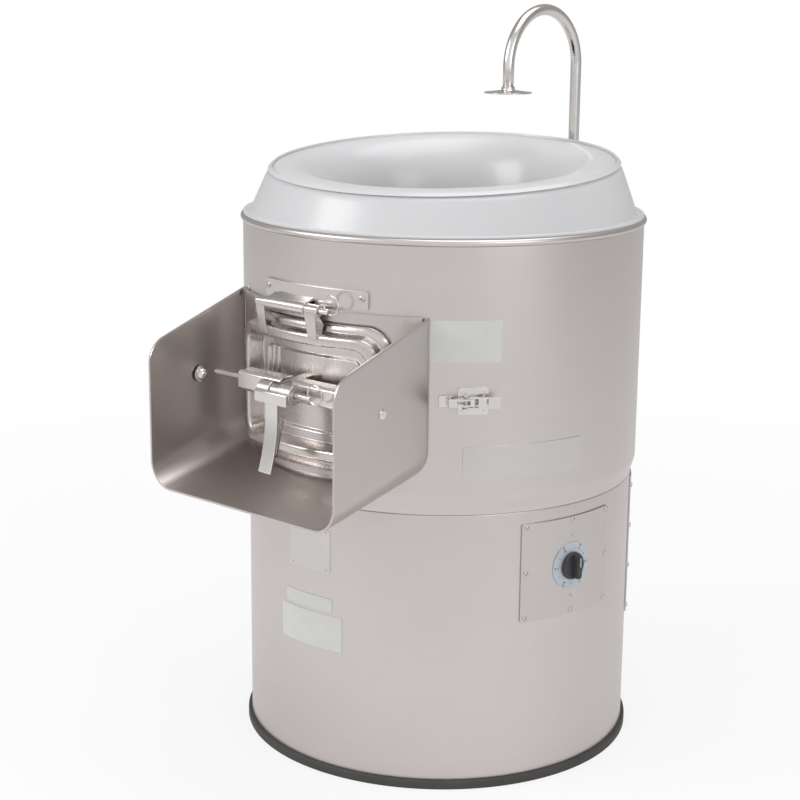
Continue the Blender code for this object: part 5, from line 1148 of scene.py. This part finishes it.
def cross_pin(name, along, out, width, radius):
    """A short round pin across the latch with slightly rounded ends."""
    start = toggle_place @ Vector((along, -width / 2, out))
    heading = toggle_place.to_3x3() @ Vector((0.0, 1.0, 0.0))
    profile = [(0.0, 0.0), (radius * 0.75, 0.0), (radius, radius * 0.25), (radius, width - radius * 0.25),
               (radius * 0.75, width), (0.0, width)]
    return tidy_normals(turned_along(name, profile, start, heading, 24))


pivot = -TOGGLE_HALF / 2
pivot_out = PLATE + CROSS_PIN * 3
hook_at = pivot + 0.0095
hook_out = pivot_out + CROSS_PIN * 2 + PLATE * 0.6
lever_half = LEVER_WIDE / 2
cheek_sheet = PLATE * 0.75
roof = hook_out + PLATE * 1.5
roof_top = roof + PLATE * 0.75

foot = curved_plate("toggle_foot", toggle_angle, TOGGLE_HALF, TOGGLE_LEVEL - TOGGLE_RISE,
                    TOGGLE_LEVEL + TOGGLE_RISE, 0.004, drum_radius + FIT, drum_radius + PLATE, 32)
soften(piece("toggle_foot", smooth(foot), toggle_steel, "body", "steel", "toggle_base"), 0.0004)
ear_gap = lever_half + FIT * 2
ear_outline = np.concatenate([[(pivot - EAR, PLATE * 0.5), (pivot + EAR, PLATE * 0.5)],
                              arc_points(pivot, pivot_out, EAR, 0.0, 180.0, 18)])
ears = [across_latch("toggle_ear", ear_outline, cheek_sheet, side * (ear_gap + cheek_sheet / 2))
        for side in (-1, 1)]
soften(piece("toggle_ears", merged("toggle_ears", ears), toggle_steel, "body", "steel", "toggle_base"),
       0.0003, 2)
rivets = [(toggle_angle + math.degrees(shift / drum_radius), drum_radius + PLATE, TOGGLE_LEVEL + rise)
          for shift in (-RIVET_ALONG, RIVET_ALONG) for rise in (-RIVET_UP, RIVET_UP)]
heads = [screw_head("rivet", facing(*place), 0.0022, 0.0010, 0.0) for place in rivets]
piece("toggle_rivets", merged("toggle_rivets", heads), toggle_steel, "body", "steel", "toggle_base")

end = TOGGLE_HALF + LEVER_GRIP
roof_from = hook_at + EAR + PLATE / 2
roof_line = rounded([(roof_from, roof), (TOGGLE_HALF - 0.006, roof), (TOGGLE_HALF - 0.002, roof - 0.0008),
                     (end - 0.006, roof), (end, roof + PLATE), (end, roof_top + PLATE),
                     (end - 0.006, roof_top),
                     (TOGGLE_HALF - 0.002, roof_top - 0.0008), (TOGGLE_HALF - 0.006, roof_top),
                     (roof_from, roof_top)],
                    [0.0, 0.001, 0.002, 0.002, 0.0, 0.0, 0.002, 0.002, 0.001, 0.0], 5)
lever_top = across_latch("lever_top", roof_line, LEVER_WIDE)
side_line = np.concatenate([arc_points(pivot, pivot_out, pivot_out - PLATE - FIT * 2, 120.0, 270.0, 20),
                            [(hook_at + EAR, pivot_out), (hook_at + EAR * 3, roof_top - PLATE / 4),
                             (hook_at - CROSS_PIN * 2, roof_top - PLATE / 4)]])
cheeks = [across_latch("lever_cheek", side_line, cheek_sheet, side * (lever_half - cheek_sheet / 2))
          for side in (-1, 1)]
slot_from, slot_to = TOGGLE_HALF - 0.0045, TOGGLE_HALF - 0.0020
slot_line = [(slot_from, roof - 0.004), (slot_from, roof + 0.006), (slot_to, roof + 0.006),
             (slot_to, roof - 0.004)]
slot_cut = across_latch("lever_slot", slot_line, LEVER_WIDE * 0.80)
lever_top = apply_boolean(lever_top, [slot_cut])
soften(piece("toggle_lever_sheet", merged("toggle_lever_sheet", [lever_top] + cheeks), toggle_steel,
             "toggle_lever", "bright",
             "toggle_lever"), 0.0004, 2)
pins = [cross_pin("pivot_pin", pivot, pivot_out, (ear_gap + cheek_sheet) * 2, CROSS_PIN),
        cross_pin("hook_pin", hook_at, hook_out, (lever_half - cheek_sheet / 2) * 2, CROSS_PIN)]
piece("toggle_pins", merged("toggle_pins", pins), pin_steel, "toggle_lever", "bright", "toggle_lever")

nose_at = -TOGGLE_HALF - HOOK_REACH
hook_low = hook_out - CROSS_PIN - PLATE / 4
hook_high = hook_out + CROSS_PIN + PLATE / 4
lip = PLATE * 0.9
hook_line = np.concatenate([arc_points(hook_at, hook_out, hook_high - hook_out, -90.0, 90.0, 14),
                            rounded([(nose_at + 0.002, hook_high), (nose_at - PLATE, hook_high),
                                     (nose_at - PLATE, lip),
                                     (nose_at, lip), (nose_at, hook_low), (nose_at + 0.002, hook_low)],
                                    [0.0, 0.0028, 0.0006, 0.0006, 0.0008, 0.0], 6)])
bail_width = (lever_half - cheek_sheet) * 2 - 0.0012
hook_bore = cross_pin("hook_bore", hook_at, hook_out, LEVER_WIDE * 2, CROSS_PIN + FIT)
well = across_latch("bail_well", [(nose_at + 0.010, hook_low - 0.004), (nose_at + 0.010, hook_high + 0.004),
                                  (hook_at - 0.0045, hook_high + 0.004),
                                  (hook_at - 0.0045, hook_low - 0.004)],
                    bail_width * 0.56)
bail = apply_boolean(across_latch("bail", hook_line, bail_width), [hook_bore, well])
soften(piece("toggle_bail", bail, toggle_steel, "toggle_hook", "bright", "toggle_hook"), 0.0005, 2)
keep_back = nose_at - HOOK_REACH
keeper_line = [(keep_back, 0.0004), (nose_at + PLATE + EAR, 0.0004), (nose_at + PLATE + EAR, lip / 2),
               (nose_at + PLATE + FIT, lip / 2), (nose_at + PLATE + FIT, hook_low - FIT * 2),
               (nose_at + FIT, hook_low - FIT * 2), (nose_at + FIT, lip / 2), (keep_back, lip / 2)]
back_low, back_high = TOGGLE_LEVEL - KEEPER_BACK, TOGGLE_LEVEL + KEEPER_BACK
back_line = [(drum_radius + FIT, back_high), (drum_radius + FIT, back_low), (drum_radius - 0.03, back_low),
             (drum_radius - 0.03, back_high)]
deep_line = [(y, z - 0.0035 if z < 0.0005 else z) for y, z in keeper_line]
keeper = apply_boolean(across_latch("keeper", deep_line, LEVER_WIDE),
                       [tidy_normals(revolve("keeper_back", back_line, 192))])
soften(piece("toggle_keeper_plate", keeper, toggle_steel, "body", "steel", "toggle_keeper"), 0.0004, 2)
keeper_spot = toggle_angle + math.degrees((nose_at - 0.008) / drum_radius)
bolt_place = facing(keeper_spot, drum_radius + lip / 2, TOGGLE_LEVEL)
head = screw_head("keeper_bolt", bolt_place, 0.0030, 0.0018, 0.0)
piece("toggle_keeper_bolt", merged("toggle_keeper_bolt", [head]), pin_steel, "body", "steel", "toggle_keeper")


# Timer panel
# A curved stainless panel screwed over an opening in the cabinet. It carries the timer, whose printed
# plate and black pointer knob stand on its face.

PANEL_SHEET = 0.0020
PANEL_CORNER = 0.003
panel_inner = cabinet_radius + FIT
panel_outer = panel_inner + PANEL_SHEET
panel_steel = sheet_finish("panel_steel", (0.60, 0.565, 0.55), 0.30, (4.0, 4.0, 380.0), 5.0)


def cover(name, node, centre, span):
    """A curved cover plate over an opening, as wide as the CAD node that it stands for."""
    low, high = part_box(node)
    half = cabinet_radius * math.sin(math.radians(span / 2))
    mesh = curved_plate(name, centre, half, low.z, high.z, PANEL_CORNER, panel_inner, panel_outer, 96)
    made = piece(name, smooth(mesh), panel_steel, "body", "steel", node)
    return soften(made, 0.0005, 2)


cover("timer_cover", *PANEL_PLACES[0])
TIMER_COLUMNS = (64.9, 80.5, 95.7)
TIMER_ROWS = (0.361, 0.298, 0.235)
PANEL_SCREW = 0.0036
PANEL_SCREW_TALL = 0.0020
places = [(column, panel_outer, row) for column in TIMER_COLUMNS for row in TIMER_ROWS
          if not (column == TIMER_COLUMNS[1] and row == TIMER_ROWS[1])]
screws("timer_screws", places, radius=PANEL_SCREW, height=PANEL_SCREW_TALL)
TIMER_AT = 80.4
TIMER_LEVEL = 0.298
screws("dial_screws", [(TIMER_AT, panel_outer, 0.3416), (TIMER_AT, panel_outer, 0.2549)], radius=0.0026,
       height=0.0014)

DIAL_SHEET = 0.0010
dial_face = panel_outer + FIT + DIAL_SHEET
plate = Finish("dial_print", (0.50, 0.545, 0.60), 0.32, 0.25)
cloud = plate.noise(plate.place(), 30.0)
plate.set("Base Color", plate.mix(cloud, (0.47, 0.51, 0.56), (0.55, 0.59, 0.64)))
plate.set("Roughness", 0.26 + cloud * 0.14)
dress("timer_dial", plate.material)


def on_dial(mesh):
    """Lay a flat (along, up, out) mesh on the dial: angle = along / face radius, radius = face + out."""
    points = np.zeros(len(mesh.vertices) * 3)
    mesh.vertices.foreach_get("co", points)
    along, up, out = points.reshape(-1, 3).T
    a = math.radians(TIMER_AT) + along / dial_face
    radius = dial_face + out
    points = np.stack([radius * np.sin(a), -radius * np.cos(a), TIMER_LEVEL + up], axis=1)
    mesh.vertices.foreach_set("co", points.ravel())
    mesh.update()
    return mesh


def printed_number(text, along, up, size):
    """A thin raised number centred at a place on the dial."""
    curve = bpy.data.curves.new("number", "FONT")
    curve.body = text
    curve.size = size
    curve.extrude = 0.00008
    curve.align_x = "CENTER"
    curve.align_y = "CENTER"
    holder = bpy.data.objects.new("number", curve)
    bpy.context.scene.collection.objects.link(holder)
    bpy.context.view_layer.update()
    mesh = bpy.data.meshes.new_from_object(holder.evaluated_get(bpy.context.evaluated_depsgraph_get()))
    bpy.data.objects.remove(holder, do_unlink=True)
    mesh.transform(Matrix.Translation((along, up, 0.00006)))
    return on_dial(mesh)


def printed_dot(along, up, radius):
    """A round printed dot with a slightly raised middle."""
    s = np.array([0.0, 0.6, 0.9, 1.0])[:, None]
    a = np.linspace(0.0, 2 * np.pi, 20, endpoint=False)[None, :]
    rise = 0.00014 * np.clip(1 - s ** 4, 0.0, 1.0) + 0 * a
    rise[-1] = -0.0001
    grid = np.stack([along + radius * s * np.cos(a), up + radius * s * np.sin(a), rise], axis=-1)
    return on_dial(skin("dot", grid, wrap_columns=True))


DOT_REACH = 0.0255
NUMBER_REACH = 0.0300
NUMBER_SIZE = 0.0046
LARGE_DOT = 0.0011
SMALL_DOT = 0.0006
print_ink = Finish("dial_ink", (0.035, 0.036, 0.040), 0.45)
print_ink.set("Roughness", 0.40 + print_ink.noise(print_ink.place(), 300.0) * 0.15)
marks = []
for i in range(11):
    turn = math.radians(60.0 - 30.0 * i)
    large = i % 2 == 0
    across, up = math.cos(turn), math.sin(turn)
    marks.append(printed_dot(DOT_REACH * across, DOT_REACH * up, LARGE_DOT if large else SMALL_DOT))
    if large:
        marks.append(printed_number(str(i // 2), NUMBER_REACH * across, NUMBER_REACH * up, NUMBER_SIZE))
piece("dial_marks", merged("dial_marks", marks), print_ink.material, "body", "dial_face")

KNOB = 0.019
KNOB_TALL = 0.016
KNOB_SKIRT = 0.004
GRIP_WIDE = 0.0045
knob_seat = dial_face + FIT * 2
knob_place = facing(TIMER_AT, 0.0, TIMER_LEVEL)
black = Finish("knob_plastic", (0.030, 0.031, 0.034), 0.36)
cloud = black.noise(black.place(), 60.0)
black.set("Base Color", black.mix(cloud, (0.026, 0.027, 0.030), (0.045, 0.046, 0.050)))
black.set("Roughness", 0.32 + cloud * 0.16)
black.bump(black.noise(black.place(), 1400.0), 0.12, 0.0002)
profile = rounded([(0.004, knob_seat), (KNOB, knob_seat), (KNOB - 0.0006, knob_seat + KNOB_SKIRT),
                   (0.004, knob_seat + KNOB_SKIRT + 0.0012)], [0.0, 0.0004, 0.0014, 0.0], 6)
a = np.linspace(0, 2 * np.pi, 96, endpoint=False)
out = profile[:, 0][:, None]
grid = np.stack([out * np.cos(a), out * np.sin(a), np.repeat(profile[:, 1][:, None], 96, axis=1)], axis=-1)
skirt = skin("knob_skirt", grid, wrap_rows=True, wrap_columns=True)
skirt.transform(knob_place)
piece("knob_skirt", smooth(tidy_normals(skirt)), black.material, "timer", "black_plastic", "timer_knob")
h = np.array([0.0, 0.30, 0.60, 0.85, 0.95, 1.0, 1.0])[:, None]
pull_in = np.array([0.0, 0.04, 0.09, 0.15, 0.22, 0.36, 0.99])[:, None]
a = np.linspace(0.0, 2 * np.pi, 64, endpoint=False)[None, :]
ca, sa = np.cos(a), np.sin(a)
wide = GRIP_WIDE * np.sign(ca) * np.abs(ca) ** 0.5 * (1 - pull_in) * (1.0 - 0.25 * (sa > 0.6))
long = (KNOB - 0.0022) * np.sign(sa) * np.abs(sa) ** 0.5 * (1 - pull_in * 0.5)
grip_up = knob_seat + KNOB_SKIRT * 0.5 + h * (KNOB_TALL - KNOB_SKIRT * 0.5) + 0 * a
grip = skin("knob_grip", np.stack([wide, long, grip_up], axis=-1), wrap_columns=True)
grip.transform(knob_place)
piece("knob_grip", smooth(tidy_normals(grip), 45.0), black.material, "timer", "black_plastic", "timer_knob")
white = Finish("pointer_paint", (0.80, 0.80, 0.78), 0.4)
white.set("Roughness", 0.35 + white.noise(white.place(), 200.0) * 0.2)
line_low, line_high = 0.0015, KNOB - 0.0050
knob_top = knob_seat + KNOB_TALL
line_foot, line_top = knob_top - 0.0004, knob_top + 0.0001
line_outline = [(line_low, line_foot), (line_high, line_foot), (line_high, line_top), (line_low, line_top)]
line = prism("line", line_outline, -0.0006, 0.0006)
line.transform(knob_place)
soften(piece("knob_line", line, white.material, "timer", "black_plastic", "timer_knob"), 0.0001, 2)
dress("timer_shaft", pin_steel)
dress("timer_unit", black.material)


# Side panel
# A second curved panel towards the rear covers the drive. Four screws down each edge hold it.

SIDE_COLUMNS = (123.5, 152.0)
SIDE_ROWS = (0.360, 0.300, 0.240, 0.179)
cover("side_cover", *PANEL_PLACES[1])
screws("side_screws", [(column, panel_outer, row) for column in SIDE_COLUMNS for row in SIDE_ROWS],
       radius=PANEL_SCREW, height=PANEL_SCREW_TALL)


# Blank plates
# The machine's plates are left bare: a bright badge and a notice plate on the hopper, and three plates
# on the cabinet under the chute. Each is thin sheet, glued on.

PLATE_SHEET = 0.0007
GLUE = 0.0001
plate_steel = sheet_finish("plate_steel", (0.62, 0.60, 0.59), 0.22, (5.0, 5.0, 500.0), 14.0)
foil = Finish("pale_foil", (0.66, 0.66, 0.65), 0.42)
cloud = foil.noise(foil.place(), 40.0)
foil.set("Base Color", foil.mix(cloud, (0.62, 0.62, 0.61), (0.70, 0.70, 0.69)))
foil.set("Roughness", 0.36 + cloud * 0.14)


def bare_plate(name, start, end, low, high, radius, finish, corner=0.003):
    """A thin blank plate on the drum between two angles and two heights."""
    half = radius * math.sin(math.radians(end - start) / 2)
    mesh = curved_plate(name, (start + end) / 2, half, low, high, corner, radius + GLUE, radius + PLATE_SHEET)
    return soften(piece(name, smooth(mesh), finish, "body", "steel"), 0.0002, 2)


bare_plate("badge_plate", 46.0, 82.0, 0.4320, 0.4780, drum_radius, plate_steel, 0.006)
bare_plate("notice_plate", 36.7, 56.1, 0.5880, 0.6430, drum_radius, foil.material)
bare_plate("rating_plate", -7.2, 8.3, 0.2875, 0.3470, cabinet_radius, plate_steel)
bare_plate("pale_plate", -8.8, 9.0, 0.2330, 0.2520, cabinet_radius, foil.material)
bare_plate("lower_plate", -10.9, 12.3, 0.1790, 0.2280, cabinet_radius, foil.material)
RIVET_COLUMNS = (-5.8, 6.9)
RIVET_ROWS = (0.3435, 0.2910)
plate_face = cabinet_radius + PLATE_SHEET
screws("rating_rivets", [(column, plate_face, row) for row in RIVET_ROWS for column in RIVET_COLUMNS],
       radius=0.0014, height=0.0008)


# Rinse pipe and splash disc
# A polished stainless tube leaves the cabinet at the rear, runs up beside the drum and bends over the
# collar. A thin spun disc at its mouth spreads the water.

PIPE_AT = 0.305
PIPE = 0.008
PIPE_SHEET = 0.0012
PIPE_LOW = 0.340
PIPE_BEND = 0.024
PIPE_INLET = 0.236
ARCH = 0.082
ARCH_LEVEL = 0.938
PIPE_MOUTH = 0.906


def tube(name, points, normal, radius, wall, sides=36):
    """A round tube with a bore along a flat route: ring = point + r (cos b across + sin b normal).

    The outer rows run out along the route and the inner rows run back, so that the skin closes on itself.
    """
    points = np.asarray(points, float)
    normal = np.asarray(normal, float)
    heading = np.gradient(points, axis=0)
    heading /= np.linalg.norm(heading, axis=1)[:, None]
    across = np.cross(heading, normal)
    b = np.linspace(0.0, 2 * np.pi, sides, endpoint=False)[None, :, None]
    ring = across[:, None, :] * np.cos(b) + normal * np.sin(b)
    centre = points[:, None, :]
    edge = wall * 0.25
    first, last = heading[0] * edge, heading[-1] * edge
    outer = centre + ring * radius
    inner = centre + ring * (radius - wall)
    outer[0] += first
    outer[-1] -= last
    lips = [(points[0] + ring[0] * (radius - edge))[None], (points[-1] + ring[-1] * (radius - edge))[None]]
    grid = np.concatenate([lips[0], outer, lips[1], inner[::-1]])
    return smooth(tidy_normals(skin(name, grid, wrap_rows=True, wrap_columns=True)), 50.0)


a = np.radians(np.linspace(-90.0, 0.0, 14))
foot_bend = np.stack([0 * a, PIPE_AT - PIPE_BEND + PIPE_BEND * np.cos(a),
                      PIPE_LOW + PIPE_BEND + PIPE_BEND * np.sin(a)], axis=1)
a = np.radians(np.linspace(0.0, 180.0, 61))
arch = np.stack([0 * a, PIPE_AT - ARCH + ARCH * np.cos(a), ARCH_LEVEL + ARCH * np.sin(a)], axis=1)
mouth_y = PIPE_AT - ARCH * 2
route = np.concatenate([[(0.0, PIPE_INLET, PIPE_LOW)], foot_bend, arch, [(0.0, mouth_y, PIPE_MOUTH)]])
pipe_steel = sheet_finish("pipe_steel", (0.70, 0.67, 0.65), 0.20, (60.0, 60.0, 60.0), 10.0)
pipe = tube("rinse_pipe", route, (1.0, 0.0, 0.0), PIPE, PIPE_SHEET)
piece("rinse_pipe", pipe, pipe_steel, "body", "bright", "gooseneck_pipe")
DISC = 0.0345
DISC_SHEET = 0.0015
bore = PIPE + FIT
profile = rounded([(bore + PIPE_SHEET, PIPE_MOUTH + DISC_SHEET * 4),
                   (bore + PIPE_SHEET, PIPE_MOUTH + DISC_SHEET),
                   (DISC, PIPE_MOUTH - DISC_SHEET), (DISC, PIPE_MOUTH - DISC_SHEET * 2), (bore, PIPE_MOUTH),
                   (bore, PIPE_MOUTH + DISC_SHEET * 4)], [0.0003, 0.002, 0.0004, 0.0004, 0.0003, 0.0003], 4)
spun = revolve("splash_disc", profile, 96)
spun.transform(Matrix.Translation((0.0, mouth_y, 0.0)))
piece("splash_disc", smooth(tidy_normals(spun)), pipe_steel, "body", "bright", "deflector_disc")
dress("pipe_clip_1", bright_steel)
dress("pipe_clip_2", bright_steel)
dress("pipe_grommet", rubber)


# Peel outlet
# A bent tube carries water and peelings from the floor's channel out through the rear of the cabinet.

OUTLET = 0.020
OUTLET_SHEET = 0.002
OUTLET_AT = 0.2457
OUTLET_ANGLE = -150.0
OUTLET_DROP = 0.062
OUTLET_REACH = 0.045
turn = math.radians(OUTLET_ANGLE)
out = np.array([math.sin(turn), -math.cos(turn), 0.0])
down = np.array([0.0, 0.0, -1.0])
start = out * OUTLET_AT + np.array([0.0, 0.0, shell_foot])
bend = OUTLET_DROP / 2
a = np.radians(np.linspace(0.0, 90.0, 19))[:, None]
centre = start + down * (OUTLET_DROP - bend) + out * bend
curve = centre + down * (bend * np.sin(a)) - out * (bend * np.cos(a))
end = out * (cabinet_radius + OUTLET_REACH) + np.array([0.0, 0.0, start[2] - OUTLET_DROP])
route = np.concatenate([[start], curve, [end]])
side = np.array([math.cos(turn), math.sin(turn), 0.0])
dull_steel = sheet_finish("dull_steel", (0.46, 0.45, 0.44), 0.42, (6.0, 6.0, 60.0), 12.0)
outlet = tube("outlet_tube", route, side, OUTLET + OUTLET_SHEET, OUTLET_SHEET, 48)
piece("outlet_tube", outlet, dull_steel, "body", "dull_steel", "peel_outlet")


# Inside of the machine
# The abrasive disc and lining are grit bonded in resin. The shaft, its bearings and the belt drive are
# plain machine parts, and the motor is painted.

def grit_finish(name, dark, pale):
    """Coarse bonded grit: grains of two sizes that stand out and vary in shade."""
    finish = Finish(name, dark, 0.85)
    grain = finish.noise(finish.place(), 420.0, 4.0, 0.7)
    lump = finish.noise(finish.place(), 60.0, 3.0, 0.6)
    finish.set("Base Color", finish.mix(grain * 0.7 + lump * 0.3, dark, pale))
    finish.set("Roughness", 0.72 + grain * 0.25)
    finish.bump(grain * 0.8 + lump * 0.2, 0.6, 0.0012)
    return finish.material


def cast_finish(name, dark, pale, roughness=0.55):
    """Cast or painted metal with a fine pitted skin."""
    finish = Finish(name, dark, roughness, 0.5)
    skin_grain = finish.noise(finish.place(), 180.0, 4.0, 0.6)
    finish.set("Base Color", finish.mix(skin_grain, dark, pale))
    finish.set("Roughness", roughness - 0.08 + skin_grain * 0.18)
    finish.bump(skin_grain, 0.25, 0.0006)
    return finish.material


grit = grit_finish("bonded_grit", (0.060, 0.056, 0.052), (0.200, 0.188, 0.172))
casting = cast_finish("plain_casting", (0.20, 0.20, 0.21), (0.32, 0.32, 0.33))
paint = cast_finish("motor_paint", (0.16, 0.20, 0.25), (0.22, 0.26, 0.31), 0.42)
for finish, nodes in ((grit, ("abrasive_disc", "abrasive_liner")),
                      (pin_steel, ("disc_nut", "drive_shaft", "upper_bearing", "lower_bearing",
                                   "motor_shaft")),
                      (casting, ("bearing_housing", "large_pulley", "motor_pulley", "water_valve")),
                      (paint, ("motor",)), (black.material, ("valve_coil",)),
                      (rubber, ("drive_belt", "shaft_seal")), (dull_steel, ("base_plate", "drive_plate")),
                      (cabinet_steel, ("hopper_floor",))):
    for node in nodes:
        dress(node, finish)
